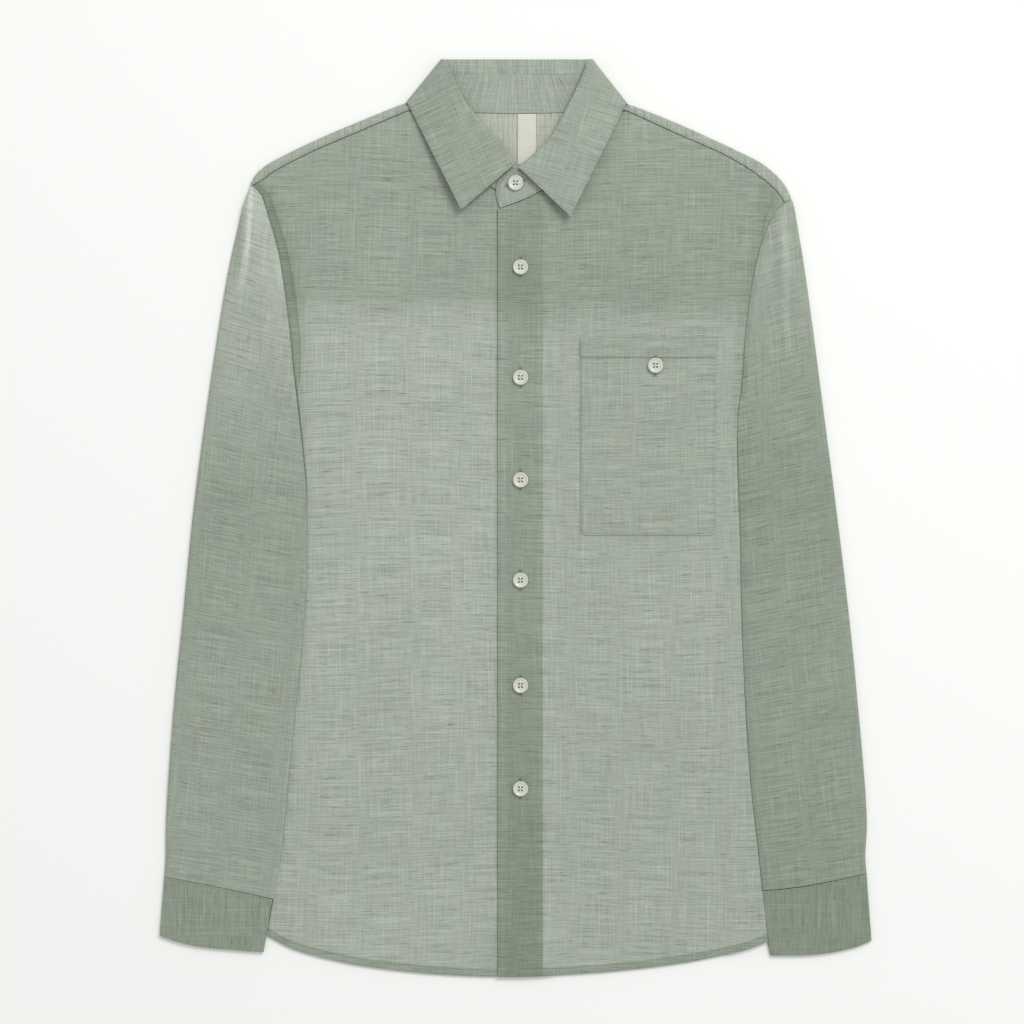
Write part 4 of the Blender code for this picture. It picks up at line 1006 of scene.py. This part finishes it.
# The weft of a sleeve crosses it at a slant, more so near the armhole
GRAIN_SLANT = (Tone(-320, 0.12), Tone(0, 0.20), Tone(280, 0.42))
SLEEVE_WIDTH, SLEEVE_LENGTH, FINE_GRID = 90.0, 620.0, 1.5
SLEEVE_HEIGHT = 4.3
INNER_HEIGHT = {"right": 5.6, "left": 2.6}
BESIDE_BODY = 26
PUFF, PUFF_IN = 2.2, 14
TUCK, TUCK_WIDTH = 1.6, 5
OVER_BODY = {"right": 3.2, "left": 0.0}
UNDER_BODY = 2.3
CUFF_HEIGHT = 3.5
EDGE_RADIUS = 2.2
# Painted highlight along the right sleeve's rounded inner edge, and its width
EDGE_HIGHLIGHT, EDGE_HIGHLIGHT_WIDTH = 0.09, 2.6
# Painted highlight where the cloth catches the light along a sharp fold, and painted shade on the cloth
# beside it
SLEEVE_HIGHLIGHT_AND_SHADE = {
    "right": (
        Fold(-225.2, 300, -230, 215, 1.5, 0.34),
        Fold(-227.5, 246, -238, 184, 3.2, 0.22),
        Fold(-236, 286, -243, 180, 6.0, -0.16),
        Fold(-206, 222, -196, 186, 2.2, 0.10),
        Fold(-210, 186, -216, 136, 2.5, 0.08),
    ),
    "left": (
        Fold(230, 285, 236, 110, 2.4, 0.11),
        Fold(238.5, 287, 240.8, 225, 2.0, -0.12),
        Fold(224, 250, 226, 180, 2.6, -0.06),
    ),
}


def sleeve_plan(side):
    tip = np.array(SHOULDER_TIP[side])
    sign = SIGN[side]
    hole = np.vstack((tip + (-1.6 * sign, 1.5), armhole[side][::-1] - (0.6 * sign, 0)))
    cuff_seam = smooth_line(CUFF_SEAM[side])
    outer = smooth_line(np.vstack((hole[0], tip, SLEEVE_OUTER[side], cuff_seam[0])))
    inner = side_seam[side][::-1] + (0.5 * sign, 0)
    inner = np.vstack((inner[inner[:, 1] > cuff_seam[-1, 1] + 4], cuff_seam[-1]))
    inner[:, 0] -= sign * np.abs(lapping(side, inner[:, 1]))
    across = stations(SLEEVE_WIDTH, FINE_GRID)
    down = stations(SLEEVE_LENGTH)
    return patch(along(hole, across), along(cuff_seam, across), along(outer, down), along(inner, down))


def tube(name, plan, top, bottom, radius, cloth, tone, near, grain, sheet=SHEET):
    """A flattened tube: along the table from its outer edge to its inner one, and back on top."""
    wide = lengths(plan - plan[:, :1])
    rim = np.minimum(wide, wide[:, -1:] - wide)
    arc = np.sqrt(1 - (1 - np.clip(rim / radius, 0, 1)) ** 2)
    middle = (top + bottom) / 2
    half_high = (top - bottom) / 2
    under = np.dstack((plan, middle - half_high * arc))
    over = np.dstack((plan, middle + half_high * arc))
    outer = np.concatenate((under, over[:, -2:0:-1]), axis=1)
    across = np.roll(outer, -1, axis=1) - np.roll(outer, 1, axis=1)
    normal = np.cross(np.gradient(outer, axis=0), across)
    normal /= np.maximum(lengths(normal)[..., None], 1e-6)
    centre = outer[..., 2:] - np.concatenate((middle, middle[:, -2:0:-1]), axis=1)[..., None]
    normal *= np.sign((normal[..., 2:] * centre).sum() + 1e-9)
    grain, tone, near = [np.concatenate((v, v[:, -2:0:-1]), axis=1) for v in (grain, tone, near)]
    return shell(name, outer, outer - normal * sheet, grain, cloth, tone, near=near, around=True)


def sleeve_top(side, x, y):
    """A sleeve's upper face as it lies: full at the armhole and flat at the cuff."""
    from_body = np.abs(x - edge_x(side, y))
    base = SLEEVE_HEIGHT + (CUFF_HEIGHT - SLEEVE_HEIGHT) * ease((-220 - y) / 80)
    low = ease((60 - y) / 60) * ease((y + 320) / 60)
    beside = ease(1 - from_body / BESIDE_BODY)
    puff = PUFF * ease((y - 60) / 120) * np.exp(-(((from_body - PUFF_IN) / PUFF_IN) ** 2))
    tuck = TUCK * ease((y - 80) / 30) * ease(1 - from_body / TUCK_WIDTH)
    inner = (INNER_HEIGHT[side] - base) * low * beside
    return base + inner + fold_lift(SLEEVE_FOLDS[side], x, y) + puff - tuck


for side in SIDES:
    plan = sleeve_plan(side)
    x, y = plan[..., 0], plan[..., 1]
    over_body = ease((LAP_OVER + 3 - np.abs(x - (edge_x(side, y) - SIGN[side] * LAP_OVER))) / 8)
    bottom = OVER_BODY[side] * over_body * ease((100 - y) / 60) * ease((y + 330) / 40)
    top = np.maximum(sleeve_top(side, x, y), bottom + 1.6)
    if side == "left":
        tucked = np.minimum(top, UNDER_BODY + 0.25 * np.maximum(np.abs(x - plan[:, -1:, 0]) - 7, 0))
        top += (tucked - top) * ease((112 - y) / 40)
    inner_edge = lengths(plan - plan[:, -1:])
    # Painted highlights and shade along the sleeve's sharp folds are added to its tone
    tone = level_at(SLEEVE_TONE[side], y) + fold_lift(SLEEVE_HIGHLIGHT_AND_SHADE[side], x, y)
    near = np.full_like(tone, 99.0)
    if side == "right":
        # Painted highlight along the right sleeve's rounded inner edge, where it lies over the body
        tone += EDGE_HIGHLIGHT * (1 - ease(inner_edge / EDGE_HIGHLIGHT_WIDTH))
    else:
        # Painted shade along the left sleeve's armhole seam and, below the underarm, beside the body's edge
        # that laps it
        hole = along(plan[0], np.linspace(0, 1, 250))
        near = lengths(plan[:, :, None] - hole).min(axis=2)
        near = np.where(y < 90, np.abs(x - edge_x(side, y)), near) * 1.2 + 0.3
    slant = level_at(GRAIN_SLANT, y) * (x - 205 * SIGN[side])
    grain = bowed(np.dstack((x + SIGN[side] * 0.1 * y, y - slant * SIGN[side])), 1.5)
    sleeve = tube("sleeve_cloth_" + side, plan, top, bottom, EDGE_RADIUS, sage_linen, tone, near, grain)
    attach(sleeve, "root")
    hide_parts("sleeve_" + side)
    cut_sheet(plan, layers=2)

# Cuffs: straight bands of two firm layers of linen, their warp running round the wrist.
# Each closes over the sleeve's end, and is stitched along both its long edges.

CUFF_EDGE = {"right": ((-305.2, -357.4), (-302, -360.6), (-277, -367.7), (-246, -371.2), (-216, -373.4)),
             "left": ((306.3, -363.4), (291.2, -369.2), (270.8, -373.7), (250.2, -375.8), (219.3, -376.2))}
CUFF_TONE = {"right": 0.65, "left": 0.59}
CUFF_LENGTH, CUFF_DEPTH = 92.0, 54.0
CUFF_RADIUS, CUFF_SHEET, CUFF_STITCH = 1.2, 1.1, 1.8
for side in SIDES:
    share = stations(CUFF_LENGTH)
    seam = along(smooth_line(CUFF_SEAM[side]), share)
    edge = along(smooth_line(CUFF_EDGE[side]), share)
    down = stations(CUFF_DEPTH)[:, None, None]
    way = (edge[len(edge) // 2] - seam[len(seam) // 2])
    start = seam + way / lengths(way) * SEAM_GAP
    plan = start[None] * (1 - down) + edge[None] * down
    top = np.full(plan.shape[:2], CUFF_HEIGHT)
    tone = np.full_like(top, CUFF_TONE[side])
    # Painted shade along each cuff's seam with the sleeve
    near = lengths(plan - plan[:1]) + 1.7
    cuff = tube("cuff_cloth_" + side, plan, top, top * 0, CUFF_RADIUS, sage_linen, tone, near,
                plan[..., ::-1], CUFF_SHEET)
    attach(cuff, "root")
    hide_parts("cuff_" + side)
    cut_sheet(plan, layers=2)
    face = np.dstack((plan, top)).swapaxes(0, 1)
    ends = [inset(way, CUFF_STITCH)[4:-4] for way in (face, face[:, ::-1])]
    stitches("cuff_stitching_" + side, ends)

# Buttons: moulded from pale stone-coloured resin, with a raised rim, a dished middle and four holes.
# Each is sewn on with a cross of thread, over a buttonhole that is a slit edged in satin stitch.

BUTTON_RADIUS = 6.7
BUTTON_HEIGHT = 2.8
HOLE_PLACE = 1.4
HOLE_RADIUS = 0.8
BUTTON_SIDES, DRILL_SIDES = 40, 14
# Radius and height as shares of the whole, from the foot round the rim and into the dish
PROFILE = ((0.80, 0.0), (0.94, 0.12), (1.0, 0.42), (0.98, 0.72), (0.92, 0.95), (0.86, 1.0), (0.79, 0.96),
           (0.70, 0.80), (0.60, 0.72), (0.45, 0.69))
# Moulded polyester resin: half gloss, softly clouded through
resin, tree, shader = plain("button_resin", "#cfd2c5", 0.32, 1.52)
shader.inputs["Coat Weight"].default_value = 0.2
mottle = node(tree, "TexNoise", {"Scale": 9.0, "Detail": 3.0})
mottle = node(tree, "MapRange", {0: mottle, 1: 0.35, 2: 0.7})
tint = node(tree, "Mix", {0: mottle, 6: (*linear("#d3d6c9"), 1.0), 7: (*linear("#c3c7ba"), 1.0)},
            data_type="RGBA").node.outputs[2]
tree.links.new(tint, shader.inputs["Base Color"])


def lathe(name, profile, sides, centre=(0.0, 0.0)):
    """A closed body turned about an upright axis, from radii and heights in millimetres."""
    x, y = centre
    turns = [2 * math.pi * k / sides for k in range(sides)]
    points = [(x + r * math.cos(a), y + r * math.sin(a), z) for r, z in profile for a in turns]
    last = (len(profile) - 1) * sides
    faces = [(i + k, i + (k + 1) % sides, i + (k + 1) % sides + sides, i + k + sides)
             for i in range(0, last, sides) for k in range(sides)]
    faces += [tuple(range(sides))[::-1], tuple(range(last, last + sides))]
    return made_of(name, points, faces, resin)


blank = lathe("button_blank", [(r * BUTTON_RADIUS, z * BUTTON_HEIGHT) for r, z in PROFILE], BUTTON_SIDES)
drill_sides = ((HOLE_RADIUS, -1.0), (HOLE_RADIUS, BUTTON_HEIGHT + 1))
drills = [lathe("drill", drill_sides, DRILL_SIDES, (a * HOLE_PLACE, b * HOLE_PLACE))
          for a in (-1, 1) for b in (-1, 1)]
for drill in drills:
    cut = blank.modifiers.new("hole", "BOOLEAN")
    cut.operation = "DIFFERENCE"
    cut.solver = "EXACT"
    cut.object = drill
drilled = bpy.data.meshes.new_from_object(blank.evaluated_get(bpy.context.evaluated_depsgraph_get()))
drilled.materials.clear()
drilled.materials.append(resin)
drilled.shade_smooth()
drilled.set_sharp_from_angle(angle=math.radians(35))
for spare in drills + [blank]:
    bpy.data.objects.remove(spare)
THREAD_HEIGHT = 0.74 * BUTTON_HEIGHT
HOLE_LENGTH = 18.5
HOLE_SINK = 0.25
SATIN_STEP, SATIN_FROM, SATIN_TO = 0.62, 0.2, 1.5
NECK_HOLE_RUN = (0.95, 0.3, 0)
button_thread = spun("button_thread", "#c9ccc0", "#d6d8cd")
# Painted shadow: a dark thread along each buttonhole's slit stands in for the shade inside it, so the slit
# reads as a dark line
slit_shadow = spun("slit_shadow", "#3d443a", "#4a5146")
cross_lines = []
satin_lines = []
slit_lines = []
for made in [o for o in frame["nodes"] if o.startswith("button_")]:
    low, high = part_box(made)
    centre = np.array([(a + b) / 2 / MM for a, b in zip(low, high)])
    foot = low[2] / MM
    mesh = drilled.copy()
    mesh.transform(Matrix.Translation((centre[0] * MM, centre[1] * MM, low[2])))
    piece = bpy.data.objects.new(made + "_look", mesh)
    shown.link(piece)
    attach(piece, "root")
    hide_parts(made)
    for a in (-1, 1):
        cross_lines.append([(centre[0] - k * HOLE_PLACE, centre[1] - k * a * HOLE_PLACE, foot + THREAD_HEIGHT)
                            for k in (-1, 1)])
    run = np.array(NECK_HOLE_RUN if made == "button_neck" else (0, 1, 0))
    aside = np.array((run[1], -run[0], 0))
    hole = np.array((centre[0], centre[1], foot - HOLE_SINK))
    slit_lines.append([hole + run * k * HOLE_LENGTH / 2 for k in (-1, 1)])
    for step in np.arange(-HOLE_LENGTH / 2, HOLE_LENGTH / 2 + 0.1, SATIN_STEP):
        place = hole + run * step
        satin_lines += [[place + aside * k * far for far in (SATIN_FROM, SATIN_TO)] for k in (-1, 1)]
stitches("button_thread", cross_lines, 5.0, 4.2, 0.75, button_thread)
stitches("buttonhole_satin", satin_lines, 1.3, 1.3, 0.6)
stitches("buttonhole_slits", slit_lines, HOLE_LENGTH, HOLE_LENGTH, 0.9, slit_shadow)

# Table: matt white board, under one large soft lamp at the upper right in an even white room.
# The lamp is wide and the shirt lies flat, so its shadow on the board is thin and soft.

TABLE_HALF = 3000.0
TABLE_LEVEL = -0.4
ROOM_LIGHT = 0.685
LAMP_WIDTH, LAMP_WATTS, LAMP_PLACE = 1.8, 75.0, (1.5, 2.1, 3.2)
corners = [(a * TABLE_HALF, b * TABLE_HALF, TABLE_LEVEL) for a, b in ((-1, -1), (1, -1), (1, 1), (-1, 1))]
floor = made_of("table_top", corners, [(0, 1, 2, 3)], plain("white_table", "#f8f9f6", 0.9)[0])
world = bpy.data.worlds.new("white_room")
bpy.context.scene.world = world
world.use_nodes = True
sky = world.node_tree.nodes["Background"]
sky.inputs["Color"].default_value = (1.0, 1.0, 1.0, 1.0)
sky.inputs["Strength"].default_value = ROOM_LIGHT
lamp_data = bpy.data.lights.new("soft_key", "AREA")
lamp_data.shape = "DISK"
lamp_data.size = LAMP_WIDTH
lamp_data.energy = LAMP_WATTS
lamp = bpy.data.objects.new("soft_key", lamp_data)
lamp.location = LAMP_PLACE
lamp.rotation_euler = (-Vector(LAMP_PLACE)).to_track_quat("-Z", "Y").to_euler()
shown.link(lamp)

# Camera: a long lens straight above, so that the frame is 881 mm wide at the table.
# It aims a little to the wearer's right of the shirt's middle.

LENS, SENSOR, FRAME_WIDTH = 85.0, 36.0, 880.6
AIM_X, AIM_Y = -2.6, 4.7
camera_data = bpy.data.cameras.new("above")
camera_data.lens = LENS
camera_data.sensor_width = SENSOR
camera = bpy.data.objects.new("above", camera_data)
camera.location = (AIM_X * MM, AIM_Y * MM, FRAME_WIDTH * MM * LENS / SENSOR)
shown.link(camera)
bpy.context.scene.camera = camera
bpy.context.scene.view_settings.view_transform = "Standard"
